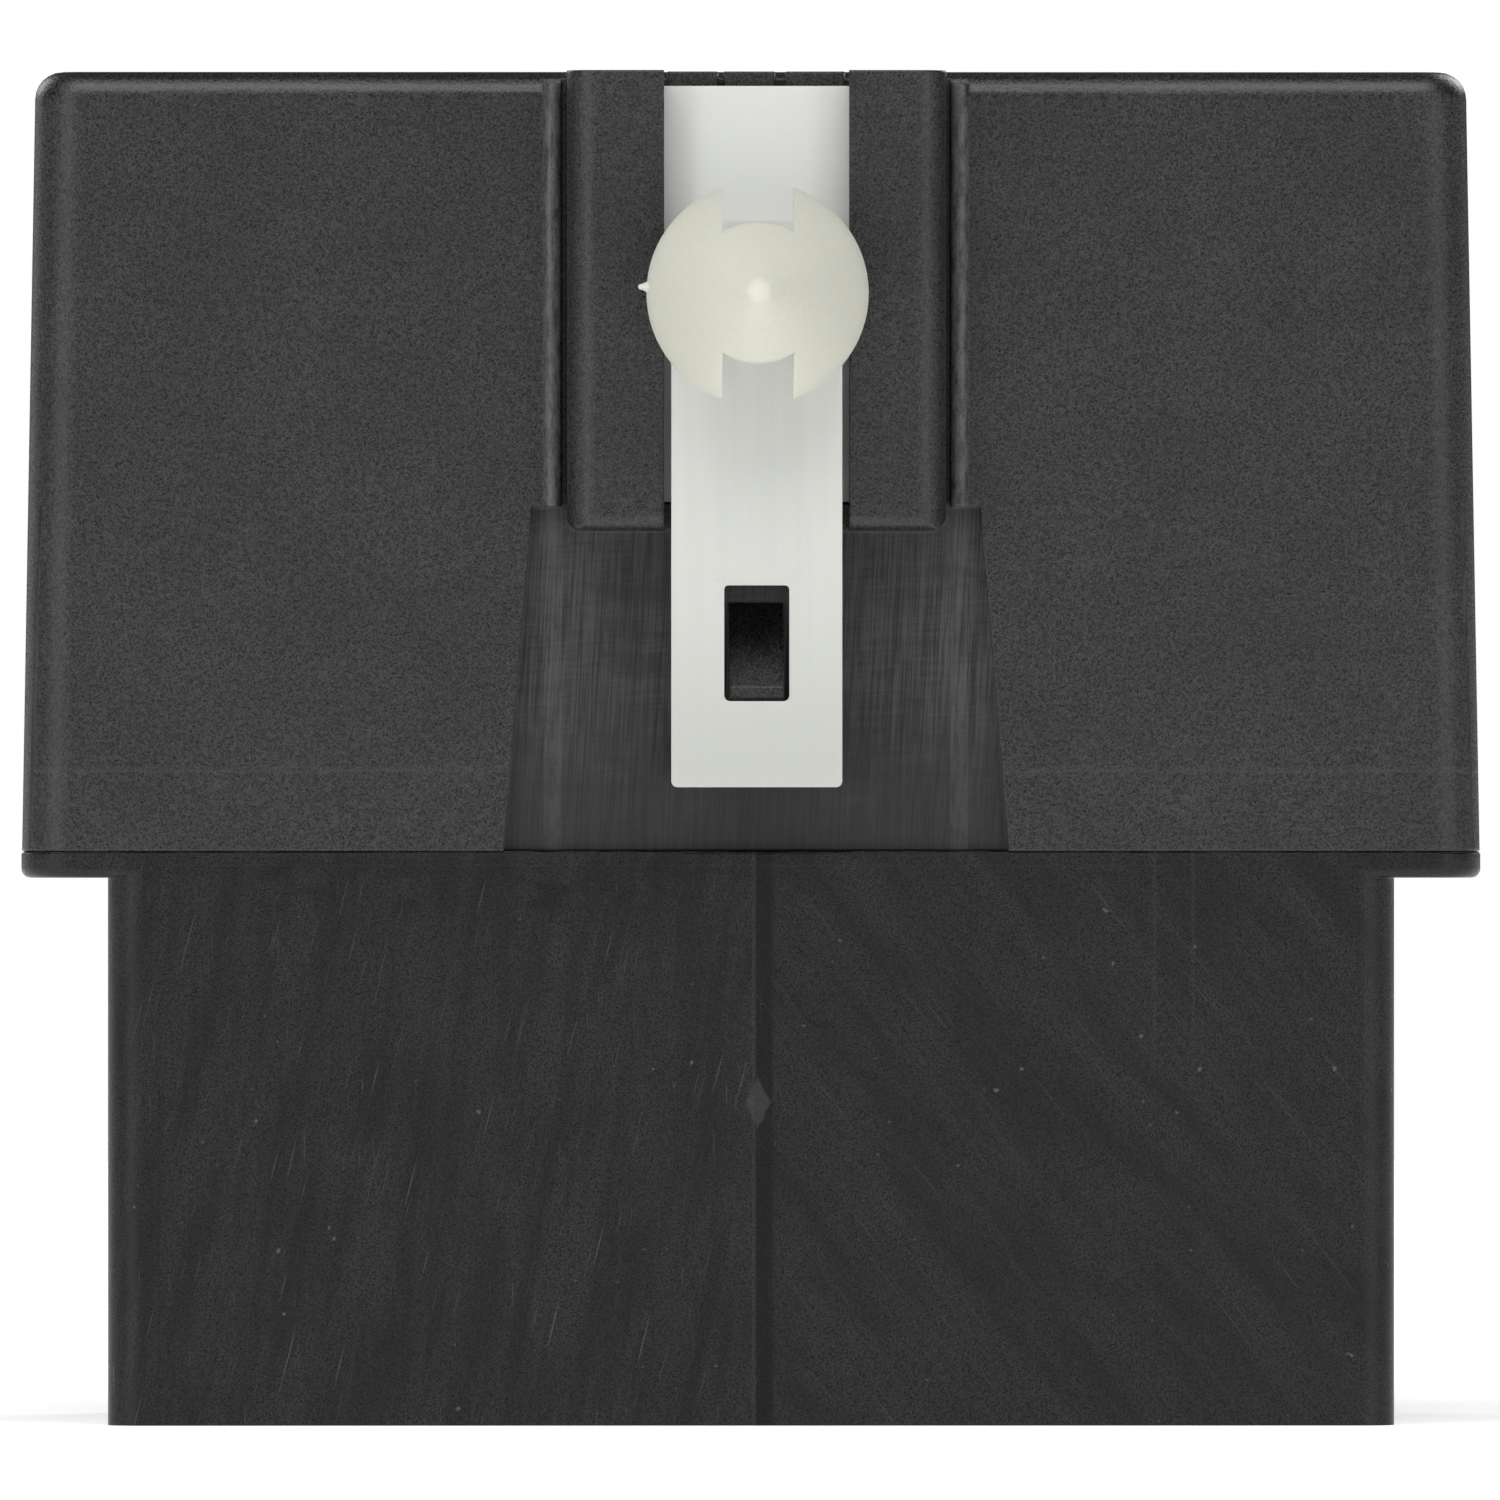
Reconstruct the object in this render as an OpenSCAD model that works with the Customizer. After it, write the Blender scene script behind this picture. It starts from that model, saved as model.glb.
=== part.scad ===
// Plug-in automotive relay: a moulded cover and connector base around a hinged-armature
// changeover relay, with a push-in panel clip held in a track on the cover's front.
// Millimetres. +Z up, front is -Y. The origin is the centre of the whole relay's base.

/* [Case] */
// Width across the base flange
case_w = 48; // [47:0.5:52]
// Depth of the base flange, front to back
case_d = 26; // [26:0.5:30]
// Height from the shroud's rim to the cover's top
case_h = 44.5; // [44.5:0.5:48]
// Thickness of the cover's walls
wall = 1.6; // [1.4:0.1:1.6]
// Radius of the cover's upright edges
edge_r = 1.6; // [1.2:0.1:2]
// Radius round the cover's top
top_r = 0.9; // [0.6:0.1:1.1]
// Draft of the cover's sides, in degrees
draft = 0.95; // [0.5:0.05:1]

/* [Connector shroud] */
// Height of the open shroud under the flange
shroud_h = 18; // [16:0.5:18]
// Width of the shroud
shroud_w = 42.3; // [41:0.1:43]
// Depth of the shroud, which is flush with the flange's front
shroud_d = 23; // [22:0.5:24]
// Thickness of the shroud's walls
shroud_wall = 1.6; // [1.4:0.1:1.8]

/* [Clip] */
// Width of the clip's raised strap and tongue
strap_w = 5.6; // [5.4:0.1:5.7]
// Width of the clip's slider plate, under the track's lips
slider_w = 7.4; // [7:0.1:7.5]
// Diameter of the arrowhead over its barbs
arrow_dia = 7.28; // [6.8:0.02:7.4]
// Diameter of the push pin's neck
neck_dia = 4.6; // [4.4:0.02:4.8]
// Gap between the strap and the barbs, for the panel
panel_gap = 2; // [1.5:0.1:2.5]

/* [Terminals] */
// Width of each blade
blade_w = 6.3; // [5.8:0.1:6.3]
// Thickness of each blade
blade_t = 0.8; // [0.6:0.1:0.8]
// Distance between neighbouring blades
blade_pitch = 8; // [7.9:0.1:8]
// Distance from the shroud's rim up to the blade tips
blade_recess = 8; // [6:0.5:9]

/* [Magnet] */
// Diameter of the iron core
core_dia = 6; // [5:0.1:6]
// Diameter over the winding
winding_dia = 13.6; // [12:0.1:14]
// Angle that the armature closes through, in degrees
pull_in = 5.2; // [4:0.1:5.4]

/* [Hidden] */

$fn = 48;
eps = 0.01;
fit = 0.03;          // clearance between pieces pressed together
play = 0.05;         // clearance between pieces that move apart

black = "#2a2b2d";
nylon = "#e6e6df";
iron = "#8d9096";
brass_tone = "#c8a65c";
copper_tone = "#b4622c";
silver_tone = "#d5d3cd";

// Heights
flange_t = 0.8;
seam_gap = 0.08;
seam_z = shroud_h + flange_t;
cover_z = seam_z + seam_gap;
deck_top = shroud_h + 2.5;
plug_top = shroud_h + 3.5;
rebate_top = shroud_h + 3.6;

// The cover stands a little inside the flange, and narrows towards its top
cover_inset = 0.02;
cover_hw = case_w / 2 - cover_inset;
cover_hd = case_d / 2 - cover_inset;
function taper(z) = (z - seam_z) * tan(draft);
rebate_wall = 1.4;
plug_clear = 0.12;

// Shroud and terminals are centred a little in front of the case's middle
shroud_y = -(case_d - shroud_d) / 2;
mech_y = shroud_y;
rail_end = shroud_h + 11.4;

// Clip track, a little right of the case's middle. Heights are measured outwards from its floor.
track_x = 0.15;
track_floor = case_d / 2 - 0.75;
floor_rib = 0.4;
lip_under = 1.65;
lip_face = 2.8;
strap_face = 3.2;
strap_back = 1.55;
root = 0.5;
slider_back = 0.45;
tongue_back = 2;
track_hw = 6.22;
slot_hw = 3.04;
channel_hw = 3.85;
recess_hw = 6.4;
window_top = rail_end - 1.8;

// Clip heights
clip_top = case_h - 0.5;
pin_z = case_h - 7.35;
strap_top = pin_z + 2.4;
slider_end = rail_end + 0.95;
tongue_end = rail_end - 8.42;
tongue_split = rail_end - 0.1;
split_gap = 0.05;
arrow_len = 5.2;
tip_r = 0.6;
notch_w = 2.34;

// Reach of the pin's tip from the case's middle, and the shift that centres the whole relay
tip_reach = track_floor + strap_face + panel_gap + arrow_len;
case_y = (tip_reach - case_d / 2) / 2;

// Magnet, along X. Left is the riveted end and right is the pole.
coil_z = deck_top + 9.3;
bobbin_half = 7.7;
bobbin_left = -19.2;
bobbin_right = -0.8;
bobbin_flange_t = 1.5;
yoke_t = 2;
yoke_z = coil_z + bobbin_half + 0.3;
yoke_left = -21.3;
yoke_hw = 6.5;
pole_dia = 8;
pole_face = 1.4;
armature_x = pole_face + play;
armature_t = 1.5;
armature_end = coil_z - 4.2;
pivot_z = yoke_z;
tail_z = yoke_z + yoke_t + 1.3;
leaf_t = 0.3;
leaf_x = armature_x + armature_t;
leaf_end = deck_top + 0.9;
contact_z = deck_top + 2.7;
contact_dia = 3.2;
dome_h = 0.25;
moving_left = leaf_x - 1.2;
moving_right = leaf_x + leaf_t + 0.9;
no_face = moving_left - play;
nc_face = rest_x(moving_right, contact_z) + 0.07;
nc_z = rest_z(moving_right, contact_z);
nc_strip_x = nc_face + 0.9;
common_x = 2 * blade_pitch;
coil_a_x = -2 * blade_pitch;
coil_b_x = -blade_pitch;
tag_y = 9.9;
tag_top = deck_top + 6.6;
resistor_z = deck_top + 4;
solder_h = 0.4;
spring_dia = 1.8;
spring_wire = 0.35;
anchor_x = -9;

// The armature is drawn closed, with its face upright, and stands open at rest
function rest_x(x, z) = armature_x + (x - armature_x) * cos(pull_in) - (z - pivot_z) * sin(pull_in);
function rest_z(x, z) = pivot_z + (x - armature_x) * sin(pull_in) + (z - pivot_z) * cos(pull_in);

// Braid from the contact spring over to the common terminal, as [x, z]
braid_route = [[4.05, 30.4], [4.7, 30.5], [5.6, 31.3], [6.6, 32.6], [7.9, 33.9], [9.5, 34.7], [11, 34.5],
               [12.3, 33.4], [13.2, 31.8], [13.85, 30], [14.25, 28.2], [14.42, 26.6], [14.45, 25.2]];
braid_dia = 1.5;

// ---------------------------------------------------------------- helpers

module in_case() translate([0, case_y, 0]) children();
module in_mech() translate([0, case_y + mech_y, 0]) children();
module on_track() translate([track_x, 0, 0]) children();
module opened()
    translate([armature_x, 0, pivot_z])
        rotate([0, -pull_in, 0])
            translate([-armature_x, 0, -pivot_z]) children();

// A flat rectangle with round corners
module round_rect(w, d, r) {
    square([w - 2 * r, d], center = true);
    square([w, d - 2 * r], center = true);
    for (x = [-1, 1], y = [-1, 1])
        translate([x * (w / 2 - r), y * (d / 2 - r)]) circle(r);
}

// Stands an X-Z drawing up, from depth y0 to y1
module plate_xz(y0, y1) translate([0, y1, 0]) rotate([90, 0, 0]) linear_extrude(y1 - y0) children();

// Stands a Y-Z drawing up, from x0 to x1
module plate_yz(x0, x1) translate([x0, 0, 0]) rotate([90, 0, 90]) linear_extrude(x1 - x0) children();

// A cylinder along X from x0 to x1
module rod_x(x0, x1, dia) translate([x0, 0, 0]) rotate([0, 90, 0]) cylinder(d = dia, h = x1 - x0);

// A shallow dome on a round base
module dome(r, h) {
    ball = (r * r + h * h) / (2 * h);
    intersection() {
        translate([0, 0, h - ball]) sphere(ball, $fn = 96);
        cylinder(r = r, h = h);
    }
}

// Rings of a tube of the given diameter along points, as one closed polyhedron
function unit(v) = v / norm(v);
function tangent(p, i) = unit(p[min(i + 1, len(p) - 1)] - p[max(i - 1, 0)]);
function ring(p, i, dia, side, n) =
    let (t = tangent(p, i), a = unit(cross(t, side)), b = cross(t, a))
    [for (k = [0:n - 1]) p[i] + dia / 2 * (cos(360 * k / n) * a + sin(360 * k / n) * b)];
module tube(p, dia, side = [0, 1, 0], n = 8) {
    rings = len(p);
    points = [for (i = [0:rings - 1]) each ring(p, i, dia, side, n)];
    walls = [for (i = [0:rings - 2], k = [0:n - 1])
        each [[i * n + k, (i + 1) * n + k, (i + 1) * n + (k + 1) % n],
              [i * n + k, (i + 1) * n + (k + 1) % n, i * n + (k + 1) % n]]];
    start = [[for (k = [0:n - 1]) k]];
    end = [[for (k = [n - 1:-1:0]) (rings - 1) * n + k]];
    polyhedron(points, concat(start, walls, end), convexity = 6);
}

// Points between the given ones, on a smooth curve through them
function curve_point(p, i, t) =
    let (a = p[max(i - 1, 0)], b = p[i], c = p[i + 1], d = p[min(i + 2, len(p) - 1)])
    0.5 * (2 * b + (c - a) * t + (2 * a - 5 * b + 4 * c - d) * t * t + (3 * b - a - 3 * c + d) * t * t * t);
function curve(p, steps) =
    concat([for (i = [0:len(p) - 2], k = [0:steps - 1]) curve_point(p, i, k / steps)], [p[len(p) - 1]]);

// ---------------------------------------------------------------- cover

module cover_outside() {
    low = [cover_hw - edge_r, cover_hd - edge_r];
    high = [low[0] - taper(case_h), low[1] - taper(case_h)];
    hull() for (x = [-1, 1], y = [-1, 1]) {
        translate([x * low[0], y * low[1], cover_z]) cylinder(r = edge_r, h = eps, $fn = 32);
        translate([x * high[0], y * high[1], case_h - top_r])
            rotate_extrude($fn = 32) intersection() {
                translate([edge_r - top_r, 0]) circle(top_r, $fn = 24);
                translate([0, -edge_r]) square(2 * edge_r);
            }
    }
}

module cover_inside() {
    inner_r = 0.6;
    ceiling = case_h - 1.8;
    hull() for (x = [-1, 1], y = [-1, 1], z = [rebate_top - 1, ceiling - eps])
        translate([x * (cover_hw - wall - taper(z) - inner_r), y * (cover_hd - wall - taper(z) - inner_r), z])
            cylinder(r = inner_r, h = eps, $fn = 24);
    translate([0, 0, cover_z - 1]) linear_extrude(rebate_top - cover_z + 1)
        round_rect(2 * (cover_hw - rebate_wall), 2 * (cover_hd - rebate_wall), 0.9);
}

// Recess that the track stands in: straight beside the rails, flaring below them
module track_recess() {
    flare_top = rail_end + 0.8;
    plate_xz(-case_d, -track_floor)
        polygon([[-recess_hw, case_h + 1], [-recess_hw, flare_top], [-7.36, flare_top], [-8.3, cover_z + 0.2],
                 [-8.3, cover_z - 1], [8.3, cover_z - 1], [8.3, cover_z + 0.2], [7.36, flare_top],
                 [recess_hw, flare_top], [recess_hw, case_h + 1]]);
}

// Cross-section of the right rail, from its root outwards to its lip
module rail_section() {
    round_r = 1;
    difference() {
        union() {
            translate([slot_hw, -root]) square([track_hw - round_r - slot_hw, root + lip_face]);
            translate([slot_hw, -root]) square([track_hw - slot_hw, root + lip_face - round_r]);
            translate([track_hw - round_r, lip_face - round_r]) circle(round_r);
        }
        translate([slot_hw - 1, -root - 1]) square([channel_hw - slot_hw + 1, root + 1 + lip_under]);
    }
}

// Two rails with lips, a sill that stops the slider, and ribs that the slider rests on
module track() {
    end_r = 0.5;
    rail_h = case_h - rail_end;
    intersection() {
        translate([0, -track_floor, rail_end]) linear_extrude(rail_h)
            for (m = [0, 1]) mirror([m, 0]) mirror([0, 1]) rail_section();
        // the rails' lower corners and lower front edge are round
        plate_xz(-case_d, 0) translate([0, rail_end + rail_h / 2]) {
            round_rect(2 * track_hw, rail_h, end_r);
            translate([0, 2]) square([2 * track_hw, rail_h - 4], center = true);
        }
        plate_yz(-case_w, case_w) translate([-track_floor - lip_face, rail_end]) {
            translate([end_r, end_r]) circle(end_r);
            translate([end_r, 0]) square([case_d, end_r]);
            translate([0, end_r]) square([case_d, rail_h]);
        }
    }
    translate([-channel_hw - root, -track_floor - lip_under + 0.05, rail_end])
        cube([2 * (channel_hw + root), lip_under + root - 0.05, slider_end - rail_end - 0.1]);
    for (rib = [[-2.89, -1.27], [-1.04, 0.6], [1, 2.89]])
        translate([rib[0], -track_floor - floor_rib, rail_end])
            cube([rib[1] - rib[0], floor_rib + root, case_h - rail_end]);
}

// Catch that the clip's tongue snaps over: a ramp facing up and a flat face below
module catch_lug() {
    top = window_top - 0.6;
    bottom = top - 3.1;
    plate_yz(-0.9, 0.9)
        polygon([[-track_floor + 0.3, top], [-track_floor - 0.1, top], [-track_floor - 2.85, bottom + 0.35],
                 [-track_floor - 2.85, bottom], [-track_floor + 0.3, bottom]]);
}

module cover() {
    color(black) in_case() {
        difference() {
            union() {
                cover_outside();
                // fine beads along the recess, either side of the track
                on_track() for (x = [-1, 1])
                    translate([x * 6.68, -cover_hd + taper(rail_end) + 0.1, rail_end + 0.8])
                        rotate([-draft, 0, 0]) cylinder(r = 0.3, h = case_h - rail_end - 1.2, $fn = 24);
            }
            cover_inside();
            on_track() track_recess();
            // gate dimple on the top
            translate([0, 4, case_h - 0.25]) cylinder(d = 3, h = 1);
        }
        on_track() {
            track();
            catch_lug();
        }
    }
}

// ---------------------------------------------------------------- base

// Flange with a rounded lower edge
module flange() {
    lower_r = 0.3;
    section = concat([[0, 0]],
                     [for (a = [-90:15:0]) [edge_r - lower_r + lower_r * cos(a), lower_r + lower_r * sin(a)]],
                     [[edge_r, flange_t], [0, flange_t]]);
    hull() for (x = [-1, 1], y = [-1, 1])
        translate([x * (case_w / 2 - edge_r), y * (case_d / 2 - edge_r), shroud_h])
            rotate_extrude($fn = 32) polygon(section);
}

// Slot for a strip that passes through the deck
module deck_slot(x, w, t) {
    translate([x - t / 2 - fit, mech_y - w / 2 - fit, shroud_h - 1]) cube([t + 2 * fit, w + 2 * fit, 4]);
}

module base_housing() {
    rim_wall = 1.2;
    plug_w = 2 * (cover_hw - rebate_wall - plug_clear);
    plug_d = 2 * (cover_hd - rebate_wall - plug_clear);
    color(black) in_case() difference() {
        union() {
            flange();
            translate([0, 0, shroud_h]) linear_extrude(plug_top - shroud_h) round_rect(plug_w, plug_d, 0.8);
            translate([0, shroud_y, 0]) linear_extrude(seam_z) round_rect(shroud_w, shroud_d, 1.15);
            // ramp on the back that the harness plug's latch snaps over
            plate_yz(-4, 4) polygon([[shroud_y + shroud_d / 2 - 0.3, 3.2], [shroud_y + shroud_d / 2, 3.2],
                                     [shroud_y + shroud_d / 2 + 1.5, 7], [shroud_y + shroud_d / 2 + 1.5, 7.8],
                                     [shroud_y + shroud_d / 2 - 0.3, 7.8]]);
            // gate scar, a low kite on the front's parting line
            plate_xz(-case_d / 2 - 0.04, -case_d / 2 + 0.2)
                polygon([[0.1, 9.6], [0.75, 10.6], [0.15, 11.45], [-0.3, 10.95]]);
        }
        // shroud cavity
        translate([0, shroud_y, -1]) linear_extrude(shroud_h + 1)
            round_rect(shroud_w - 2 * shroud_wall, shroud_d - 2 * shroud_wall, 0.7);
        // shallow well in the plug's top
        translate([0, 0, deck_top]) linear_extrude(2)
            round_rect(plug_w - 2 * rim_wall, plug_d - 2 * rim_wall, 0.6);
        for (k = [-2:2]) deck_slot(k * blade_pitch, blade_w, blade_t);
        // pockets for the yoke's feet
        for (s = [-1, 1])
            translate([yoke_left - fit, mech_y + s * 4.5 - 1.5 - fit, shroud_h + 0.9])
                cube([yoke_t + 2 * fit, 3 + 2 * fit, 3]);
        // steps of the mould's inserts on the shroud's front, with the parting line where they meet
        for (insert = [[-19.5, 0.15, 0.05], [0.15, 13.25, 0.02], [13.25, 14.5, 0.04]])
            translate([insert[0], -case_d / 2 - 1, -1])
                cube([insert[1] - insert[0], 1 + insert[2], shroud_h + 1.4]);
    }
    // polarising ribs inside the shroud
    color(black) in_case() for (x = [-12, 4, 12])
        translate([x - 0.8, shroud_y - shroud_d / 2 + shroud_wall - eps, 1.5])
            cube([1.6, 1.3, shroud_h - 1.5 + eps]);
}

// ---------------------------------------------------------------- clip

// Arrowhead with two sprung barbs, pointing to -Y from the strap's face
module push_pin() {
    shoulder = arrow_dia / 2;
    rotate([90, 0, 0]) {
        difference() {
            rotate_extrude() polygon(concat(
                [[0, panel_gap - 0.3], [shoulder - 0.3, panel_gap - 0.3], [shoulder, panel_gap],
                 [shoulder, panel_gap + 0.25]],
                [for (a = [30:15:90]) [tip_r * cos(a), panel_gap + arrow_len - tip_r + tip_r * sin(a)]]));
            // hollow behind the barbs
            rotate_extrude() polygon([[neck_dia / 2, panel_gap - 1], [shoulder - 0.62, panel_gap - 1],
                                      [shoulder - 0.62, panel_gap + 0.4], [neck_dia / 2, panel_gap + 1.1]]);
            // slots above and below that part the barbs
            difference() {
                translate([-notch_w / 2, -shoulder - 1, panel_gap - 1])
                    cube([notch_w, arrow_dia + 2, arrow_len]);
                cylinder(d = neck_dia, h = 20);
            }
        }
        cylinder(d = neck_dia, h = panel_gap + 0.5);
        // moulding nib at the left barb's edge
        translate([-shoulder + 0.08, 0.05, panel_gap + 0.02]) rotate([0, -90, 0])
            cylinder(r1 = 0.26, r2 = 0.06, h = 0.45);
    }
}

module retainer_clip() {
    strap_h = strap_top - slider_end;
    color(nylon) in_case() on_track() {
        translate([-slider_w / 2, -track_floor - strap_back, slider_end])
            cube([slider_w, strap_back - slider_back, clip_top - slider_end]);
        plate_xz(-track_floor - strap_face, -track_floor - strap_back + eps) {
            translate([0, slider_end + strap_h / 2]) round_rect(strap_w, strap_h, 0.8);
            translate([0, slider_end + 2]) square([strap_w, 4], center = true);
        }
        translate([-strap_w / 2, -track_floor - strap_face, tongue_split])
            cube([strap_w, strap_face - tongue_back, slider_end - tongue_split + eps]);
        translate([0, -track_floor - strap_face + eps, pin_z]) push_pin();
    }
}

module clip_tongue() {
    window_bottom = window_top - 3.8;
    color(nylon) in_case() on_track()
    plate_xz(-track_floor - strap_face, -track_floor - tongue_back) difference() {
        translate([0, (tongue_end + tongue_split - split_gap) / 2])
            square([strap_w, tongue_split - split_gap - tongue_end], center = true);
        translate([0, (window_top + window_bottom) / 2])
            round_rect(2.14, window_top - window_bottom, 0.25);
    }
}

// ---------------------------------------------------------------- magnet

module bobbin_flange(x) {
    difference() {
        plate_yz(x, x + bobbin_flange_t)
            translate([0, (deck_top + coil_z + bobbin_half) / 2])
                round_rect(2 * bobbin_half, coil_z + bobbin_half - deck_top, 0.8);
        translate([0, 0, coil_z]) rod_x(x - 1, x + bobbin_flange_t + 1, core_dia + 2 * fit);
    }
}

module bobbin() {
    barrel = core_dia + 1.6;
    color("#1f4a3a") in_mech() {
        bobbin_flange(bobbin_left);
        bobbin_flange(bobbin_right - bobbin_flange_t);
        translate([0, 0, coil_z]) difference() {
            rod_x(bobbin_left + 1, bobbin_right - 1, barrel);
            rod_x(bobbin_left, bobbin_right, core_dia + 2 * fit);
        }
    }
}

module coil_winding() {
    color(copper_tone) in_mech() translate([0, 0, coil_z]) difference() {
        rod_x(bobbin_left + bobbin_flange_t, bobbin_right - bobbin_flange_t, winding_dia);
        rod_x(bobbin_left, bobbin_right, core_dia + 1.6);
    }
}

// Enamelled wire ends from the winding back to the two coil tags
module coil_leads() {
    lead_y = winding_dia / 2 + 0.1;
    solder_x = blade_t / 2 + solder_h;
    color(copper_tone) in_mech() for (x = [coil_a_x, coil_b_x])
        tube(curve([[x + 1.5, lead_y, coil_z - 0.6], [x + 1.5, lead_y + 0.9, coil_z - 1.6],
                    [x + 1.2, tag_y - 0.6, tag_top - 0.5], [x + solder_x + 0.05, tag_y, tag_top - 0.9]], 3),
             0.3, [1, 0, 0], 6);
}

module core() {
    color(iron) in_mech() translate([0, 0, coil_z]) {
        rod_x(bobbin_left - 0.1, bobbin_right, core_dia);
        rod_x(yoke_left - 0.1, bobbin_left, 4.94);
        rod_x(yoke_left - 0.45, yoke_left, 6.4);
        rod_x(bobbin_right, pole_face, pole_dia);
    }
}

// L-shaped frame: an upright riveted to the core, and a leg over the coil to the pivot
module yoke() {
    foot_z = shroud_h + 1;
    color(iron) in_mech() {
        difference() {
            union() {
                plate_xz(-yoke_hw, yoke_hw)
                    polygon([[yoke_left, deck_top + 1.5], [yoke_left, yoke_z + yoke_t - 0.9],
                             [yoke_left + 0.9, yoke_z + yoke_t], [pole_face - 0.25, yoke_z + yoke_t],
                             [pole_face, yoke_z], [yoke_left + yoke_t, yoke_z],
                             [yoke_left + yoke_t, deck_top + 1.5]]);
                for (s = [-1, 1])
                    translate([yoke_left, s * 4.5 - 1.5, foot_z]) cube([yoke_t, 3, deck_top + 2 - foot_z]);
            }
            translate([0, 0, coil_z]) rod_x(yoke_left - 1, yoke_left + yoke_t + 1, 5);
        }
        // horns that keep the armature from moving sideways
        for (s = [-1, 1])
            translate([pole_face - 1, s * (yoke_hw - 0.55) - 0.55, yoke_z]) cube([2.9, 1.1, yoke_t]);
        // anchor for the return spring
        difference() {
            translate([anchor_x - 0.4, -1.5, yoke_z + yoke_t - 0.5]) cube([0.8, 3, 2.75]);
            translate([0, 0, tail_z]) rod_x(anchor_x - 1, anchor_x + 1, 1);
        }
    }
}

module armature() {
    color(iron) in_mech() opened() plate_yz(armature_x, armature_x + armature_t) difference() {
        union() {
            translate([-yoke_hw, armature_end]) square([2 * yoke_hw, pivot_z - 0.3 - armature_end]);
            translate([-yoke_hw + 1.3, pivot_z - 1]) square([2 * yoke_hw - 2.6, 2.8]);
            translate([-2, pivot_z]) square([4, tail_z + 0.8 - pivot_z]);
        }
        translate([0, tail_z]) circle(0.5);
        for (z = [-1.7, 3]) translate([0, coil_z + z]) circle(0.9 + fit);
    }
}

module contact_spring() {
    color(brass_tone) in_mech() opened() plate_yz(leaf_x, leaf_x + leaf_t) difference() {
        polygon([[-3.5, coil_z + 4.6], [-3.5, coil_z - 3.4], [-2.1, coil_z - 5], [-2.1, leaf_end],
                 [2.1, leaf_end], [2.1, coil_z - 5], [3.5, coil_z - 3.4], [3.5, coil_z + 4.6]]);
        for (z = [-1.7, 3]) translate([0, coil_z + z]) circle(0.9 + fit);
        translate([0, contact_z]) circle(0.8 + fit);
    }
}

module armature_rivets() {
    color(brass_tone) in_mech() opened() for (z = [-1.7, 3]) translate([0, 0, coil_z + z]) {
        rod_x(armature_x, leaf_x + leaf_t, 1.8);
        rod_x(leaf_x + leaf_t, leaf_x + leaf_t + 0.45, 2.8);
    }
}

// ---------------------------------------------------------------- contacts and terminals

module moving_contact() {
    color(silver_tone) in_mech() opened() translate([0, 0, contact_z]) {
        rod_x(moving_left, leaf_x, 3);
        rod_x(leaf_x - eps, leaf_x + leaf_t + eps, 1.6);
        rod_x(leaf_x + leaf_t, moving_right, 3);
    }
}

// A fixed contact rivet through a strip: a domed head facing +Z, and an upset end behind
module fixed_contact(head) {
    cylinder(d = contact_dia, h = head - dome_h);
    translate([0, 0, head - dome_h]) dome(contact_dia / 2, dome_h);
    translate([0, 0, -blade_t]) cylinder(d = 1.6, h = blade_t);
    translate([0, 0, -blade_t - 0.25]) cylinder(d = 2.4, h = 0.25);
}

module no_contact()
    color(silver_tone) in_mech() translate([blade_t / 2, 0, contact_z]) rotate([0, 90, 0])
        fixed_contact(no_face - blade_t / 2);

module nc_contact()
    color(silver_tone) in_mech() translate([nc_strip_x, 0, nc_z]) rotate([0, -90, 0])
        fixed_contact(nc_strip_x - nc_face);

// Outline of a blade from its tapered tip up to the deck
function blade_outline(top, hw) =
    let (h = blade_w / 2)
    [[-h, deck_top], [-h, blade_recess + 1.4], [-h + 0.9, blade_recess], [h - 0.9, blade_recess],
     [h, blade_recess + 1.4], [h, deck_top], [hw, deck_top], [hw, top], [-hw, top], [-hw, deck_top]];

// Thins a blade's tip on both faces, where it is driven into the harness terminal
module coined_tip(x) {
    coined_to = blade_recess + 1.6;
    for (s = [-1, 1])
        plate_xz(-blade_w, blade_w)
            polygon([[x + s * 0.18, blade_recess - 1], [x + s * 0.18, blade_recess],
                     [x + s * blade_t / 2, coined_to], [x + s * 3, coined_to],
                     [x + s * 3, blade_recess - 1]]);
}

module no_terminal() {
    color(brass_tone) in_mech() difference() {
        plate_yz(-blade_t / 2, blade_t / 2) difference() {
            polygon(blade_outline(deck_top + 4.5, 2.4));
            translate([0, contact_z]) circle(0.8 + fit);
        }
        coined_tip(0);
    }
}

// The strip steps sideways above the deck, so that its contact faces the moving one
module nc_terminal() {
    x = blade_pitch;
    step_z = deck_top + 0.15;
    color(brass_tone) in_mech() {
        difference() {
            plate_yz(x - blade_t / 2, x + blade_t / 2) polygon(blade_outline(step_z, 2.4));
            coined_tip(x);
        }
        difference() {
            plate_xz(-2.4, 2.4)
                polygon([[x - blade_t / 2, step_z - eps], [x + blade_t / 2, step_z - eps],
                         [x + blade_t / 2, step_z + 0.1], [nc_strip_x + blade_t, step_z + 1.2],
                         [nc_strip_x + blade_t, deck_top + 4.7], [nc_strip_x, deck_top + 4.7],
                         [nc_strip_x, step_z + 0.9], [x - blade_t / 2, step_z + 0.1]]);
            translate([0, 0, nc_z]) rod_x(nc_face, nc_strip_x + 2, 1.6 + 2 * fit);
        }
    }
}

module common_terminal() {
    color(brass_tone) in_mech() difference() {
        plate_yz(common_x - blade_t / 2, common_x + blade_t / 2) polygon(blade_outline(deck_top + 6.8, 2.6));
        coined_tip(common_x);
    }
}

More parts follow.
